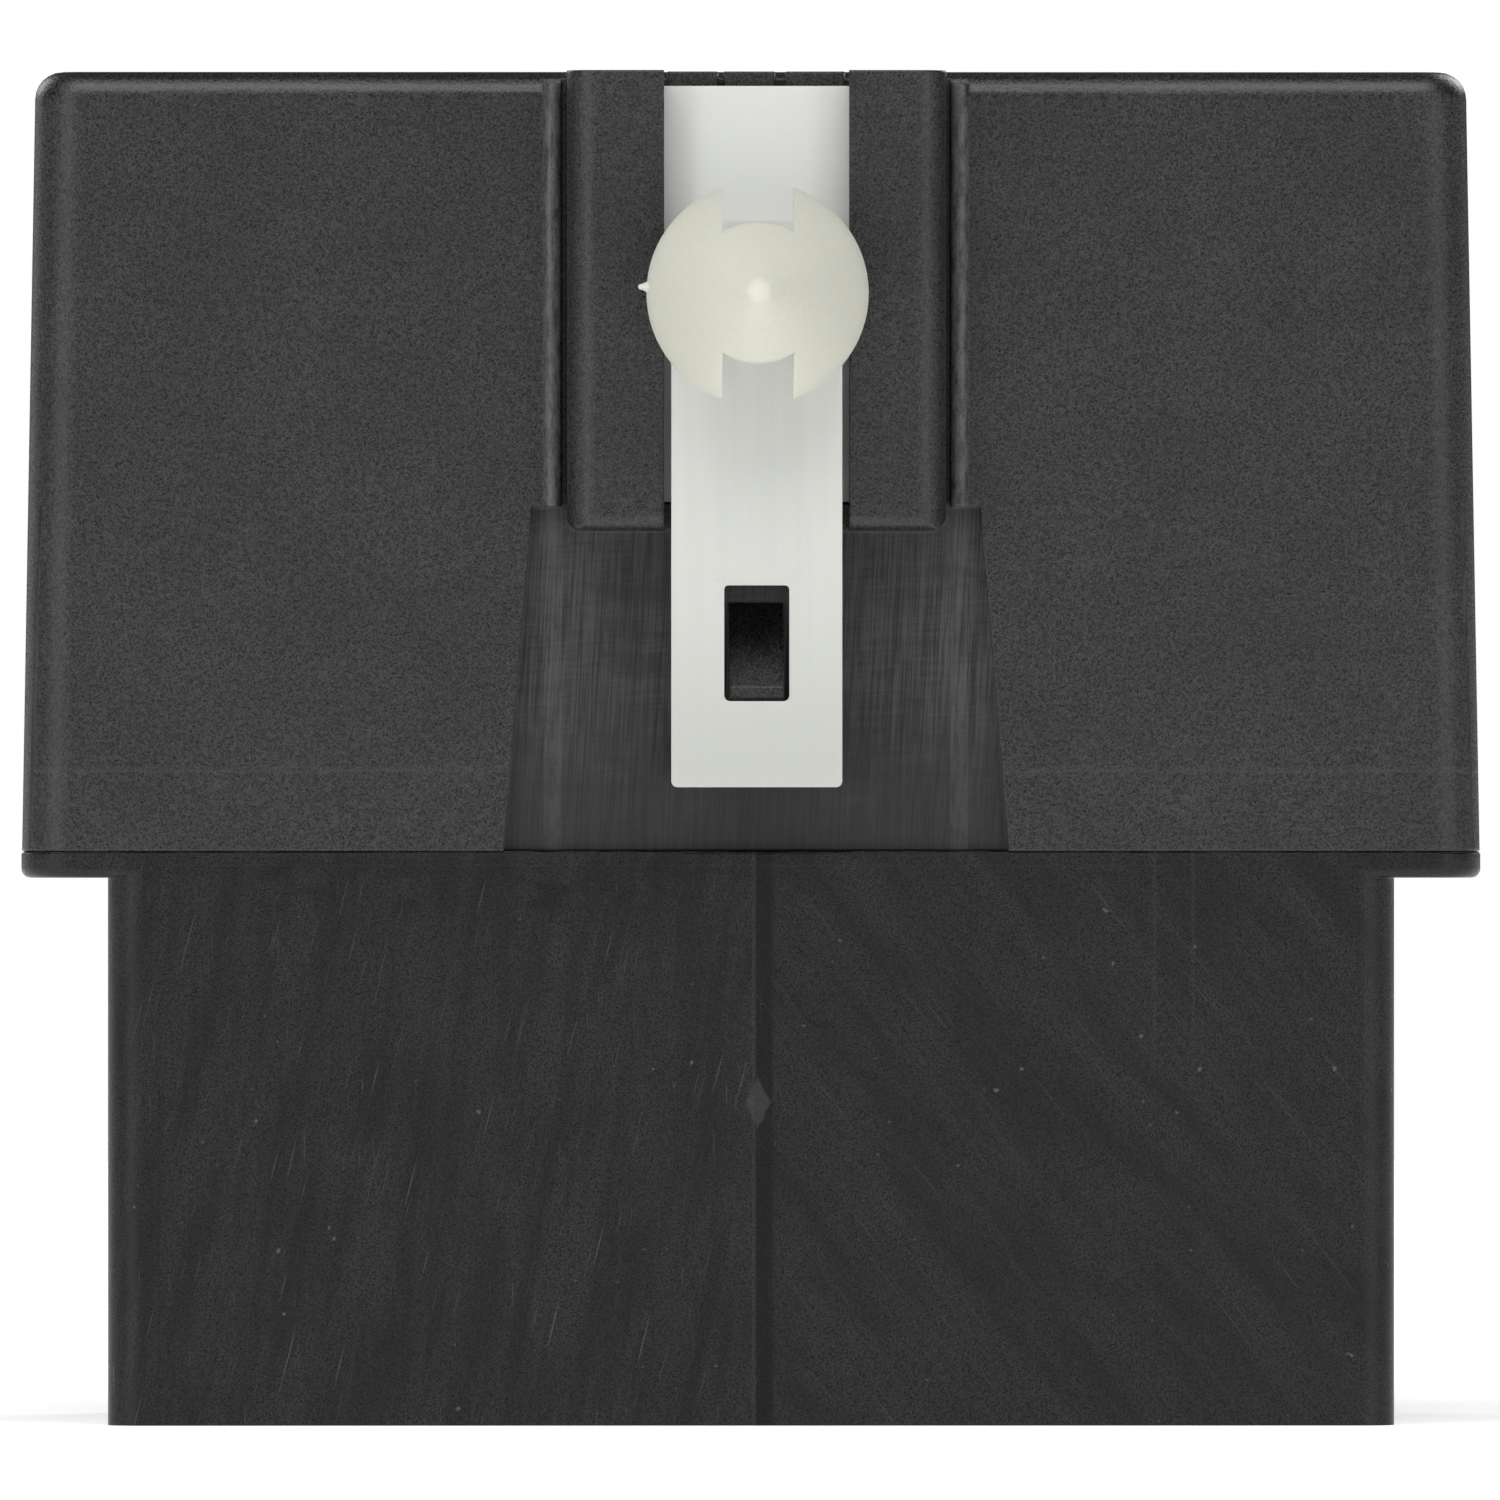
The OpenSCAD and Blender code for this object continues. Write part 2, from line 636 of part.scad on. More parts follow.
// Flat stamping with an arm along the deck to a soldering tag behind the coil
module coil_terminal(x) {
    arm = 0.9;
    color(brass_tone) in_mech() difference() {
        plate_yz(x - blade_t / 2, x + blade_t / 2) difference() {
            union() {
                polygon(blade_outline(deck_top + arm, blade_w / 2));
                translate([0, deck_top]) square([tag_y + 0.8, arm]);
                translate([tag_y - 0.8, deck_top]) square([1.6, tag_top - deck_top]);
            }
            translate([tag_y, resistor_z]) circle(0.35);
        }
        coined_tip(x);
    }
}

module coil_terminal_a() coil_terminal(coil_a_x);
module coil_terminal_b() coil_terminal(coil_b_x);

// ---------------------------------------------------------------- small parts

// Tension spring along the yoke's top, hooked through its anchor and the armature's tail
module return_spring() {
    r = spring_dia / 2;
    steps = 9 * 12;      // turns, by points in a turn
    from = anchor_x + 1.6;
    to = armature_x - 1.5;
    body = [for (k = [0:steps])
        [from + (to - from) * k / steps, r * sin(30 * k), tail_z + r * cos(30 * k)]];
    left = [[anchor_x - 0.75, 0, tail_z + 0.75], [anchor_x - 0.7, 0, tail_z + 0.2],
            [anchor_x - 0.35, 0, tail_z], [anchor_x + 0.4, 0, tail_z],
            [from - 0.5, 0, tail_z + 0.2], [from - 0.15, 0, tail_z + r - 0.15]];
    right = [[to + 0.15, 0, tail_z + r - 0.15], [to + 0.5, 0, tail_z + 0.2],
             [armature_x - 0.6, 0, tail_z], [leaf_x - 0.1, 0, tail_z],
             [leaf_x + 0.2, 0, tail_z + 0.2], [leaf_x + 0.25, 0, tail_z + 0.75]];
    color(silver_tone) in_mech() tube(concat(left, body, right), spring_wire, [0.02, 1, 0.01], 6);
}

module suppression_resistor() {
    middle = (coil_a_x + coil_b_x) / 2;
    color("#c9b28a") in_mech() translate([0, tag_y, resistor_z]) {
        rod_x(middle - 2.3, middle + 2.3, 1.9);
        for (s = [-1, 1]) translate([middle + s * 1.85, 0, 0]) rod_x(-0.6, 0.6, 2.3);
    }
}

module resistor_leads() {
    middle = (coil_a_x + coil_b_x) / 2;
    reach = blade_pitch / 2 + blade_t / 2 + 0.45;
    color(silver_tone) in_mech() translate([middle, tag_y, resistor_z])
        for (s = [-1, 1])
            rod_x(s > 0 ? 2.45 : -reach, s > 0 ? reach : -2.45, 0.6);
}

module contact_braid() {
    color(copper_tone) in_mech()
        tube(curve([for (p = braid_route) [p[0], 0, p[1] - 29.8 + coil_z]], 2), braid_dia, [0, 1, 0], 8);
}

// Solder on both coil tags and on the braid's end at the common terminal
module solder_joints() {
    color(silver_tone) in_mech() {
        for (x = [coil_a_x, coil_b_x])
            translate([x + blade_t / 2, tag_y, tag_top - 0.9]) rotate([0, 90, 0]) dome(0.65, solder_h);
        pad_x = braid_route[len(braid_route) - 1][0] + braid_dia / 2;
        translate([pad_x, -1, coil_z - 4.8]) cube([common_x - blade_t / 2 - pad_x, 2, 2.2]);
    }
}

cover();
base_housing();
retainer_clip();
clip_tongue();
bobbin();
coil_winding();
coil_leads();
core();
yoke();
armature();
contact_spring();
armature_rivets();
moving_contact();
no_contact();
nc_contact();
no_terminal();
nc_terminal();
common_terminal();
coil_terminal_a();
coil_terminal_b();
return_spring();
suppression_resistor();
resistor_leads();
contact_braid();
solder_joints();
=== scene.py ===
"""Looks of a plug-in relay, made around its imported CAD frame: materials for the CAD pieces, and the
pieces that CAD keeps plain (clip, winding, spring, braid, leads, resistor). Metres, +Z up, front is -Y."""

import math
import random

import bmesh
import bpy
from mathutils import Matrix, Vector


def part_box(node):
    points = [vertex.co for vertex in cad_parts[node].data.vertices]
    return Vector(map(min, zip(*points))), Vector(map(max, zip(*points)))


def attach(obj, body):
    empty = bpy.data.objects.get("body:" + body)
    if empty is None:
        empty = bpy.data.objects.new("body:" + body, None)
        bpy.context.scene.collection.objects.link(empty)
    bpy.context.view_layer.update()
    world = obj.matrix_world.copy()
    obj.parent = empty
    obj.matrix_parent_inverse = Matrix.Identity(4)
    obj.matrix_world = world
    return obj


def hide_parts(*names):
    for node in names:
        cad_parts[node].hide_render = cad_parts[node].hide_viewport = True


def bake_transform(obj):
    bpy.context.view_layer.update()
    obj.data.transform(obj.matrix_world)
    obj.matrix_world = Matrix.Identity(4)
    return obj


MM = 0.001
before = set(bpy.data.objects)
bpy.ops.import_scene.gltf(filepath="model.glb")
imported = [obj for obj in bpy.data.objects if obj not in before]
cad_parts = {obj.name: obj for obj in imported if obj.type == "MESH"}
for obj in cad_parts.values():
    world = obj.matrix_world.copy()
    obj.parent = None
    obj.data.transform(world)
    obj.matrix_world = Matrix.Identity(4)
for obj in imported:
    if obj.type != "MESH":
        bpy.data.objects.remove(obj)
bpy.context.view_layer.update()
scene = bpy.context.scene
random.seed(7)


def box_mm(node):
    """Lowest and highest corner of a CAD node, in millimetres."""
    low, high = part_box(node)
    return Vector(low) / MM, Vector(high) / MM


# ------------------------------------------------------------------ camera, floor and light

cover_low = box_mm("cover")[0]
base_low, base_high = box_mm("base_housing")
CASE_Y = (base_low.y + base_high.y) / 2
FRONT_Y = base_low.y


def add_camera():
    """Level with the middle of the front, and so far off that the perspective is nearly flat."""
    sensor = 36.0
    distance = 1100.0
    frame_width = 49.28
    data = bpy.data.cameras.new("camera")
    data.sensor_width = sensor
    data.lens = sensor * distance / frame_width
    data.clip_start = 0.01
    data.clip_end = 20
    camera = bpy.data.objects.new("camera", data)
    scene.collection.objects.link(camera)
    target = Vector((-0.05, FRONT_Y, 22.2)) * MM
    to_left = math.radians(0.6)
    away = Vector((-math.sin(to_left), -math.cos(to_left), 0.0))
    camera.location = target + away * distance * MM
    camera.rotation_euler = (target - camera.location).to_track_quat("-Z", "Y").to_euler()
    scene.camera = camera


def add_area(name, place, aim, size, power):
    """A white softbox at place, facing aim. Places and size, its width and height, are in metres."""
    data = bpy.data.lights.new(name, "AREA")
    data.shape = "RECTANGLE"
    data.size, data.size_y = size
    data.energy = power
    light = bpy.data.objects.new(name, data)
    light.location = place
    light.rotation_euler = (Vector(aim) - Vector(place)).to_track_quat("-Z", "Y").to_euler()
    scene.collection.objects.link(light)


def add_lights():
    """Two upright softboxes beside the camera, one over the front, and weaker light from behind."""
    aim = (0, 0, 0.022)
    add_area("key", (-0.56, -0.68, 0.18), aim, (0.2, 0.9), 1.8)
    add_area("fill", (0.58, -0.68, 0.14), aim, (0.2, 0.8), 1.25)
    add_area("top", (-0.06, -0.54, 0.85), aim, (1.0, 0.7), 6.9)
    add_area("back_left", (-0.6, 0.75, 0.4), aim, (0.5, 0.5), 2.4)
    add_area("back_right", (0.5, 0.8, 0.5), aim, (0.5, 0.5), 3.2)


def add_world():
    """White to the camera, and a dim even grey to everything that it lights."""
    world = bpy.data.worlds.new("studio")
    scene.world = world
    world.use_nodes = True
    tree = world.node_tree
    tree.nodes.clear()
    out = tree.nodes.new("ShaderNodeOutputWorld")
    mix = tree.nodes.new("ShaderNodeMixShader")
    path = tree.nodes.new("ShaderNodeLightPath")
    seen = tree.nodes.new("ShaderNodeBackground")
    lit = tree.nodes.new("ShaderNodeBackground")
    seen.inputs["Strength"].default_value = 1.0
    seen.inputs["Color"].default_value = (1, 1, 1, 1)
    lit.inputs["Color"].default_value = (1, 1, 1, 1)
    lit.inputs["Strength"].default_value = 0.04
    tree.links.new(path.outputs["Is Camera Ray"], mix.inputs[0])
    tree.links.new(lit.outputs[0], mix.inputs[1])
    tree.links.new(seen.outputs[0], mix.inputs[2])
    tree.links.new(mix.outputs[0], out.inputs[0])


def mesh_object(name, points, faces):
    """A new mesh object from points in millimetres."""
    mesh = bpy.data.meshes.new(name)
    mesh.from_pydata([Vector(p) * MM for p in points], [], faces)
    mesh.validate()
    piece = bpy.data.objects.new(name, mesh)
    scene.collection.objects.link(piece)
    return piece


def add_floor(material):
    """A wide pale floor under the shroud's rim."""
    reach = 700
    corners = [(-reach, -reach, 0), (reach, -reach, 0), (reach, reach, 0), (-reach, reach, 0)]
    floor = mesh_object("floor", corners, [(0, 1, 2, 3)])
    floor.data.materials.append(material)


# ------------------------------------------------------------------ material building

class Shader:
    """One material's nodes. Inputs are numbers, tuples or sockets; each call returns a socket."""

    def __init__(self, name, **settings):
        self.material = bpy.data.materials.new(name)
        self.material.use_nodes = True
        self.tree = self.material.node_tree
        self.surface = self.tree.nodes["Principled BSDF"]
        coordinates = self.tree.nodes.new("ShaderNodeTexCoord")
        scale = self.tree.nodes.new("ShaderNodeVectorMath")
        scale.operation = "SCALE"
        scale.inputs["Scale"].default_value = 1 / MM
        self.tree.links.new(coordinates.outputs["Object"], scale.inputs[0])
        self.place = scale.outputs[0]
        self.axes = None
        for key, value in settings.items():
            self.put(key, value)

    def put(self, key, value):
        """Sets or links a socket of the surface; underscores in its name stand for spaces."""
        self.plug(self.surface.inputs[key.replace("_", " ")], value)

    def plug(self, socket, value):
        """Links a socket to an input, or sets the input to a plain value."""
        if isinstance(value, bpy.types.NodeSocket):
            self.tree.links.new(value, socket)
        elif isinstance(value, (tuple, list, Vector)) and socket.type == "RGBA":
            socket.default_value = (*value[:3], 1)
        else:
            socket.default_value = value

    def node(self, kind, inputs=(), **settings):
        """A new node. inputs maps each input's name or number to its value."""
        made = self.tree.nodes.new(kind)
        for key, value in settings.items():
            setattr(made, key, value)
        for key, value in dict(inputs).items():
            self.plug(made.inputs[key], value)
        return made

    def axis(self, letter):
        """The X, Y or Z coordinate in millimetres."""
        if self.axes is None:
            self.axes = self.node("ShaderNodeSeparateXYZ", {0: self.place})
        return self.axes.outputs[letter]

    def math(self, operation, a, b=0.0):
        return self.node("ShaderNodeMath", {0: a, 1: b}, operation=operation).outputs[0]

    def noise(self, size, detail, rough, vector=None):
        """Noise with features about size mm wide, from 0 to 1."""
        made = self.node("ShaderNodeTexNoise", {"Scale": 1 / size, "Detail": detail, "Roughness": rough,
                                                "Vector": vector or self.place})
        return made.outputs["Fac"]

    def streaks(self, across, detail, rough, turn=(0, 0, 0), shift=(0, 0, 0)):
        """Noise from 0 to 1 with features about across = (x, y, z) mm in size, along axes turned by degrees."""
        turned = self.node("ShaderNodeMapping", {"Vector": self.place, "Location": shift,
                                                 "Rotation": [math.radians(a) for a in turn]}).outputs[0]
        sizes = self.node("ShaderNodeVectorMath", {0: turned, 1: across}, operation="DIVIDE")
        return self.noise(1.0, detail, rough, sizes.outputs[0])

    def fine_grain(self):
        """Grain of a spark-eroded mould, turned so that no face lies along the noise's own grid."""
        return self.streaks((0.06, 0.06, 0.06), 3.0, 0.75, (35, 20, 50))

    def pits(self, size, smooth):
        """Soft round pits about size mm apart, from 0 in a pit's middle."""
        made = self.node("ShaderNodeTexVoronoi", {"Scale": 1 / size, "Smoothness": smooth, "Vector": self.place},
                         feature="SMOOTH_F1")
        return made.outputs["Distance"]

    def ramp(self, value, low, high, to_low=0.0, to_high=1.0):
        """Value from low..high taken smoothly to to_low..to_high, held outside them."""
        made = self.node("ShaderNodeMapRange", {"Value": value, "From Min": low, "From Max": high,
                                                "To Min": to_low, "To Max": to_high})
        made.interpolation_type = "SMOOTHSTEP"
        return made.outputs[0]

    def window(self, value, low, high, soft):
        """1 between low and high and 0 outside, with edges soft wide."""
        up = self.ramp(value, low - soft, low)
        down = self.ramp(value, high, high + soft, 1.0, 0.0)
        return self.math("MULTIPLY", up, down)

    def mix(self, factor, a, b):
        """Numbers or colours mixed by factor."""
        colours = any(isinstance(v, (tuple, list)) or getattr(v, "type", "") == "RGBA" for v in (a, b))
        made = self.tree.nodes.new("ShaderNodeMix")
        made.data_type = "RGBA" if colours else "FLOAT"
        slots = [s for s in made.inputs if s.enabled]
        for slot, value in zip(slots, (factor, a, b)):
            self.plug(slot, value)
        return next(s for s in made.outputs if s.enabled)

    def tint(self, colour, value, spread):
        """A colour made darker and lighter by spread, as value goes from 0 to 1."""
        dark = tuple(c * (1 - spread) for c in colour)
        light = tuple(min(1.0, c * (1 + spread)) for c in colour)
        return self.mix(value, dark, light)

    def cloudy(self, clouds, speckle, dark, low, high):
        """Speckles of dark and a lighter colour, which goes from low to high with the clouds."""
        return self.mix(self.ramp(clouds, 0.3, 0.7), self.mix(speckle, dark, low), self.mix(speckle, dark, high))

    def bump(self, height, depth, after=None):
        """A surface pushed out by height (0 to 1) times depth mm. after is a normal that it is added to."""
        inputs = {"Height": height, "Distance": depth * MM, "Strength": 1.0}
        if after is not None:
            inputs["Normal"] = after
        return self.node("ShaderNodeBump", inputs).outputs[0]

    def rounded_edge(self, radius):
        """The surface's normal with its edges rounded by radius mm."""
        return self.node("ShaderNodeBevel", {"Radius": radius * MM}, samples=6).outputs[0]


# ------------------------------------------------------------------ materials

clip_low, clip_high = box_mm("retainer_clip")
tongue_low, tongue_high = box_mm("clip_tongue")
SLIDER_CLEARANCE = 0.45
TRACK_FLOOR = clip_high.y + SLIDER_CLEARANCE    # Y of the floor of the recess behind the clip
SEAM = cover_low.z                              # height of the cover's lower edge
TRACK_X = (tongue_low.x + tongue_high.x) / 2
BEAD_X, BEAD_HW = 6.68, 0.26                    # the beads beside the rails, measured from TRACK_X
RAIL_END = tongue_high.z + 0.15                 # height of the rails' lower ends
LATCH_LOW = RAIL_END - 5.6                      # lower edge of the tongue's window, and of the catch in it


def cover_plastic():
    """Black case with spark-eroded grain, a polished and scratched panel on the track recess's floor that is darker
    towards its bottom, beads beside the rails painted lighter for scuffs and as a painted highlight, a smooth
    catch, and a faint level mark where the mould's parts met. It rounds the cover's edges, which have no bevel of
    their own."""
    s = Shader("cover_plastic")
    s.put("Specular IOR Level", 0.6)
    fine = s.fine_grain()
    pits = s.pits(0.14, 0.3)
    grain = s.math("ADD", s.math("MULTIPLY", fine, 0.8), s.math("MULTIPLY", pits, 0.4))
    broad = s.noise(4.0, 3.0, 0.55)

    on_floor = s.window(s.axis("Y"), TRACK_FLOOR - 0.05, TRACK_FLOOR + 0.05, 0.03)
    polish = s.math("MULTIPLY", on_floor, s.window(s.axis("Z"), SEAM, RAIL_END + 0.85, 0.05))
    drawn = s.streaks((0.06, 1.0, 3.0), 5.0, 0.7, (0, -3, 0))
    ground = s.streaks((1.6, 1.0, 0.09), 3.0, 0.6, (0, 4, 0))
    smudge = s.streaks((2.6, 1.0, 1.1), 3.0, 0.6, (0, -14, 0))
    streaks = s.math("ADD", s.math("MULTIPLY", drawn, 0.82), s.math("MULTIPLY", ground, 0.18))

    beside = s.math("ABSOLUTE", s.math("SUBTRACT", s.axis("X"), TRACK_X))
    bead = s.window(beside, BEAD_X - BEAD_HW, BEAD_X + BEAD_HW, 0.06)
    bead = s.math("MULTIPLY", bead, s.window(s.axis("Y"), clip_low.y, TRACK_FLOOR - 0.02, 0.03))
    # Scuffs and painted highlight: the beads are painted lighter along streaks, for their wear and for the
    # highlight along them.
    scuff_and_highlight = s.ramp(s.streaks((0.2, 1.0, 0.8), 3.0, 0.7), 0.36, 0.6, 0.25, 1.0)
    scuff_and_highlight = s.math("MULTIPLY", bead, scuff_and_highlight)
    level = s.math("ADD", s.axis("Z"), s.math("MULTIPLY", s.noise(1.4, 2.0, 0.5), 0.16))
    mark_z = SEAM + 2.8
    witness = s.math("MULTIPLY", s.window(level, mark_z - 0.06, mark_z + 0.06, 0.1), 0.3)
    witness = s.math("MULTIPLY", witness, s.math("SUBTRACT", 1.0, polish))

    speckle = s.ramp(s.math("ADD", s.math("MULTIPLY", fine, 0.8), s.math("MULTIPLY", pits, 0.2)), 0.34, 0.64)
    grained = s.cloudy(broad, speckle, (0.001, 0.0011, 0.0011), (0.034, 0.0347, 0.0348), (0.044, 0.0447, 0.0448))
    rubbed = s.mix(s.ramp(streaks, 0.38, 0.6), (0.006, 0.0061, 0.0062), (0.055, 0.056, 0.057))
    # The polished panel is made darker towards its bottom, with dark smudges.
    wavy = s.math("ADD", s.axis("Z"), s.math("MULTIPLY", smudge, 6.0))
    darkened = s.math("MAXIMUM", s.ramp(wavy, SEAM + 4.6, SEAM + 9.5, 0.75, 0.0), s.ramp(smudge, 0.52, 0.7, 0.0, 0.5))
    rubbed = s.mix(darkened, rubbed, (0.0095, 0.0097, 0.01))
    colour = s.mix(polish, grained, rubbed)
    # The beads' lighter colour is partly scuffs and partly a painted highlight.
    colour = s.mix(s.math("MULTIPLY", scuff_and_highlight, 0.8), colour, (0.12, 0.121, 0.123))
    s.put("Base Color", s.mix(witness, colour, (0.04, 0.041, 0.042)))
    s.put("Roughness", s.mix(polish, s.ramp(fine, 0.36, 0.64, 0.2, 0.38),
                             s.ramp(streaks, 0.3, 0.7, 0.3, 0.46)))
    height = s.mix(polish, grain, s.math("MULTIPLY", streaks, 0.3))
    on_catch = s.math("MULTIPLY", s.window(beside, -1.0, 1.0, 0.02),
                      s.window(s.axis("Z"), LATCH_LOW, RAIL_END - 2.3, 0.1))
    height = s.math("MULTIPLY", height, s.math("SUBTRACT", 1.0, s.math("MULTIPLY", on_catch, 0.85)))
    s.put("Normal", s.bump(s.math("ADD", height, witness), 0.016, after=s.rounded_edge(0.13)))
    return s.material


def base_plastic():
    """Black base, smoother than the cover, with rounded edges as on the cover. The front of its shroud is marked by
    its connector: short steep scratches on the left half, and faint long slanting ones on the right. The front also
    has the mould's parting line, drawn as a painted highlight with painted shade on its right, the lines of two
    inserts and the scar of the gate."""
    s = Shader("base_plastic")
    s.put("Specular IOR Level", 0.38)
    fine = s.fine_grain()
    broad = s.noise(4.0, 3.0, 0.55)
    right = s.ramp(s.axis("X"), -1.0, 1.0)
    below = s.ramp(s.axis("Z"), SEAM - 1.2, SEAM - 0.75, 1.0, 0.0)
    on_front = s.ramp(s.axis("Y"), FRONT_Y + 0.6, FRONT_Y + 0.8, 1.0, 0.0)

    short = s.streaks((0.055, 1.0, 3.2), 1.5, 0.5, (0, -14, 0))
    upright = s.streaks((0.05, 1.0, 2.2), 1.0, 0.5, (0, 1, 0), (5, 0, 3))
    long = s.streaks((0.05, 1.0, 4.5), 1.0, 0.5, (0, 38, 0), (2, 0, 9))
    scratches = s.mix(right, s.math("MAXIMUM", s.ramp(short, 0.67, 0.8), s.ramp(upright, 0.72, 0.8, 0.0, 0.7)),
                      s.ramp(long, 0.68, 0.78, 0.0, 0.4))
    flecks = s.ramp(s.noise(0.35, 1.0, 0.5), 0.76, 0.82, 0.0, 0.9)
    marks = s.math("MULTIPLY", s.math("MAXIMUM", s.math("MULTIPLY", scratches, on_front), flecks), below)
    rubbed = s.mix(right, s.streaks((0.12, 1.0, 4.0), 3.0, 0.65, (0, -9, 0)),
                   s.streaks((0.16, 1.0, 6.0), 3.0, 0.6, (0, 36, 0)))
    rubbed = s.math("MULTIPLY", rubbed, on_front)

    speckle = s.ramp(fine, 0.4, 0.6)
    plain = s.cloudy(broad, speckle, (0.0005, 0.0005, 0.0005), (0.0195, 0.02, 0.0202), (0.028, 0.0285, 0.0287))
    plain = s.mix(s.ramp(rubbed, 0.4, 0.75, 0.0, 0.3), plain, (0.024, 0.025, 0.0255))
    handled = s.mix(right, s.streaks((0.9, 1.0, 7.0), 3.0, 0.6, (0, -8, 0)),
                    s.streaks((1.6, 1.0, 9.0), 3.0, 0.6, (0, 40, 0)))
    handled = s.math("MULTIPLY", s.ramp(handled, 0.35, 0.6, 0.55, 0.0), on_front)
    plain = s.mix(handled, plain, (0.002, 0.002, 0.002))
    # A dark streaky patch just below the seam, between x = -15 and -3 mm.
    darkened = s.ramp(s.streaks((1.5, 1.0, 0.7), 3.0, 0.6), 0.46, 0.66, 0.0, 0.7)
    darkened = s.math("MULTIPLY", darkened, s.window(s.axis("X"), -15.0, -3.0, 2.0))
    darkened = s.math("MULTIPLY", darkened, s.window(s.axis("Z"), SEAM - 1.6, SEAM - 0.6, 0.7))
    plain = s.mix(darkened, plain, (0.001, 0.001, 0.001))
    shade = s.math("MULTIPLY", s.window(s.axis("X"), 0.2, 0.6, 0.2), on_front)
    plain = s.mix(shade, plain, (0.001, 0.001, 0.001))

    def line(x):
        """A fine upright line at x."""
        return s.window(s.axis("X"), x - 0.04, x + 0.04, 0.04)

    # Painted highlight: the parting line is a light line for the lit edge of its small step, beside the painted
    # shade above.
    parting = s.math("MULTIPLY", line(0.08), 0.16)
    inserts = s.math("MAXIMUM", line(13.25), line(14.5))
    inserts = s.math("MULTIPLY", inserts, s.ramp(s.axis("Z"), 9.5, 14.5, 0.0, 0.12))
    gate_x, gate_z = 0.2, 10.6
    across = s.math("MULTIPLY", s.math("ABSOLUTE", s.math("SUBTRACT", s.axis("X"), gate_x)), 2.0)
    scar = s.math("ADD", across, s.math("ABSOLUTE", s.math("SUBTRACT", s.axis("Z"), gate_z)))
    scar = s.math("ADD", scar, s.math("MULTIPLY", s.noise(0.4, 2.0, 0.5), 0.5))
    scar = s.ramp(scar, 0.95, 1.2, 0.32, 0.0)
    # Real marks of the gate and inserts, with the parting line's painted highlight.
    worn_and_highlight = s.math("MULTIPLY", s.math("MAXIMUM", s.math("MAXIMUM", parting, scar), inserts), on_front)
    s.put("Base Color", s.mix(s.math("MAXIMUM", marks, worn_and_highlight), plain, (0.085, 0.087, 0.088)))
    s.put("Roughness", s.ramp(fine, 0.36, 0.64, 0.23, 0.38))
    height = s.math("ADD", fine, s.math("MULTIPLY", rubbed, 0.3))
    height = s.math("SUBTRACT", height, s.math("MULTIPLY", marks, 0.8))
    s.put("Normal", s.bump(height, 0.011, after=s.rounded_edge(0.04)))
    return s.material


def nylon():
    """Natural nylon that a little light passes into, creamier in the thick pin. The slider's plate, deep in the
    track, is painted lighter than the strap against its shade there, and the tongue is painted darker towards its
    free end as painted shade."""
    s = Shader("nylon")
    flow = s.streaks((0.4, 1.2, 9.0), 3.0, 0.5)
    fine = s.noise(0.2, 2.0, 0.5)
    in_pin = s.ramp(s.axis("Y"), tongue_low.y - 1.2, tongue_low.y - 0.2, 1.0, 0.0)
    strap = s.mix(s.ramp(flow, 0.35, 0.65), (0.705, 0.715, 0.68), (0.725, 0.735, 0.7))
    # Painted light: the slider's plate, deep between the rails, is given a lighter colour than the strap against
    # the shade that falls on it there.
    plate = s.ramp(s.axis("Y"), tongue_low.y + 0.9, tongue_low.y + 1.4)
    strap = s.mix(plate, strap, (0.765, 0.775, 0.75))
    # Painted shade: the tongue is darkened towards its free end, which stands over the dark recess.
    end_painted_shade = s.ramp(s.axis("Z"), tongue_low.z, RAIL_END, 0.9, 0.0)
    strap = s.mix(end_painted_shade, strap, (0.57, 0.58, 0.545))
    pin = s.mix(s.ramp(fine, 0.3, 0.7), (0.735, 0.74, 0.64), (0.755, 0.76, 0.66))
    s.put("Base Color", s.mix(in_pin, strap, pin))
    s.put("Roughness", s.ramp(fine, 0.3, 0.7, 0.52, 0.62))
    s.put("Specular IOR Level", 0.3)
    s.put("Subsurface Weight", 0.3)
    s.put("Subsurface Radius", (1.0, 0.9, 0.6))
    s.put("Subsurface Scale", 0.7 * MM)
    height = s.math("ADD", s.math("MULTIPLY", flow, 0.5), s.math("MULTIPLY", fine, 0.4))
    s.put("Normal", s.bump(height, 0.008))
    return s.material


def metal(name, colour, roughness, streak=(0.06, 0.06, 3.0), spread=0.14, depth=0.004):
    """Rolled or drawn metal: streaks of a size in mm along X, Y and Z, and cloudy patches in its polish."""
    s = Shader(name, Metallic=1.0)
    lines = s.streaks(streak, 4.0, 0.6)
    clouds = s.noise(1.6, 4.0, 0.6)
    s.put("Base Color", s.tint(colour, s.math("MULTIPLY", s.math("ADD", lines, clouds), 0.5), spread))
    s.put("Roughness", s.ramp(s.math("ADD", lines, clouds), 0.7, 1.3, roughness - 0.07, roughness + 0.1))
    s.put("Normal", s.bump(lines, depth))
    return s.material


def bobbin_plastic():
    """Dark green glass-filled moulding, with fibres just under its skin."""
    s = Shader("bobbin_plastic")
    fibre = s.streaks((0.05, 0.4, 0.4), 2.0, 0.6, (20, 35, 0))
    clouds = s.noise(2.5, 3.0, 0.5)
    s.put("Base Color", s.tint((0.022, 0.085, 0.062), s.ramp(fibre, 0.3, 0.7), 0.3))
    s.put("Roughness", s.ramp(clouds, 0.3, 0.7, 0.4, 0.58))
    s.put("Normal", s.bump(fibre, 0.008))
    return s.material


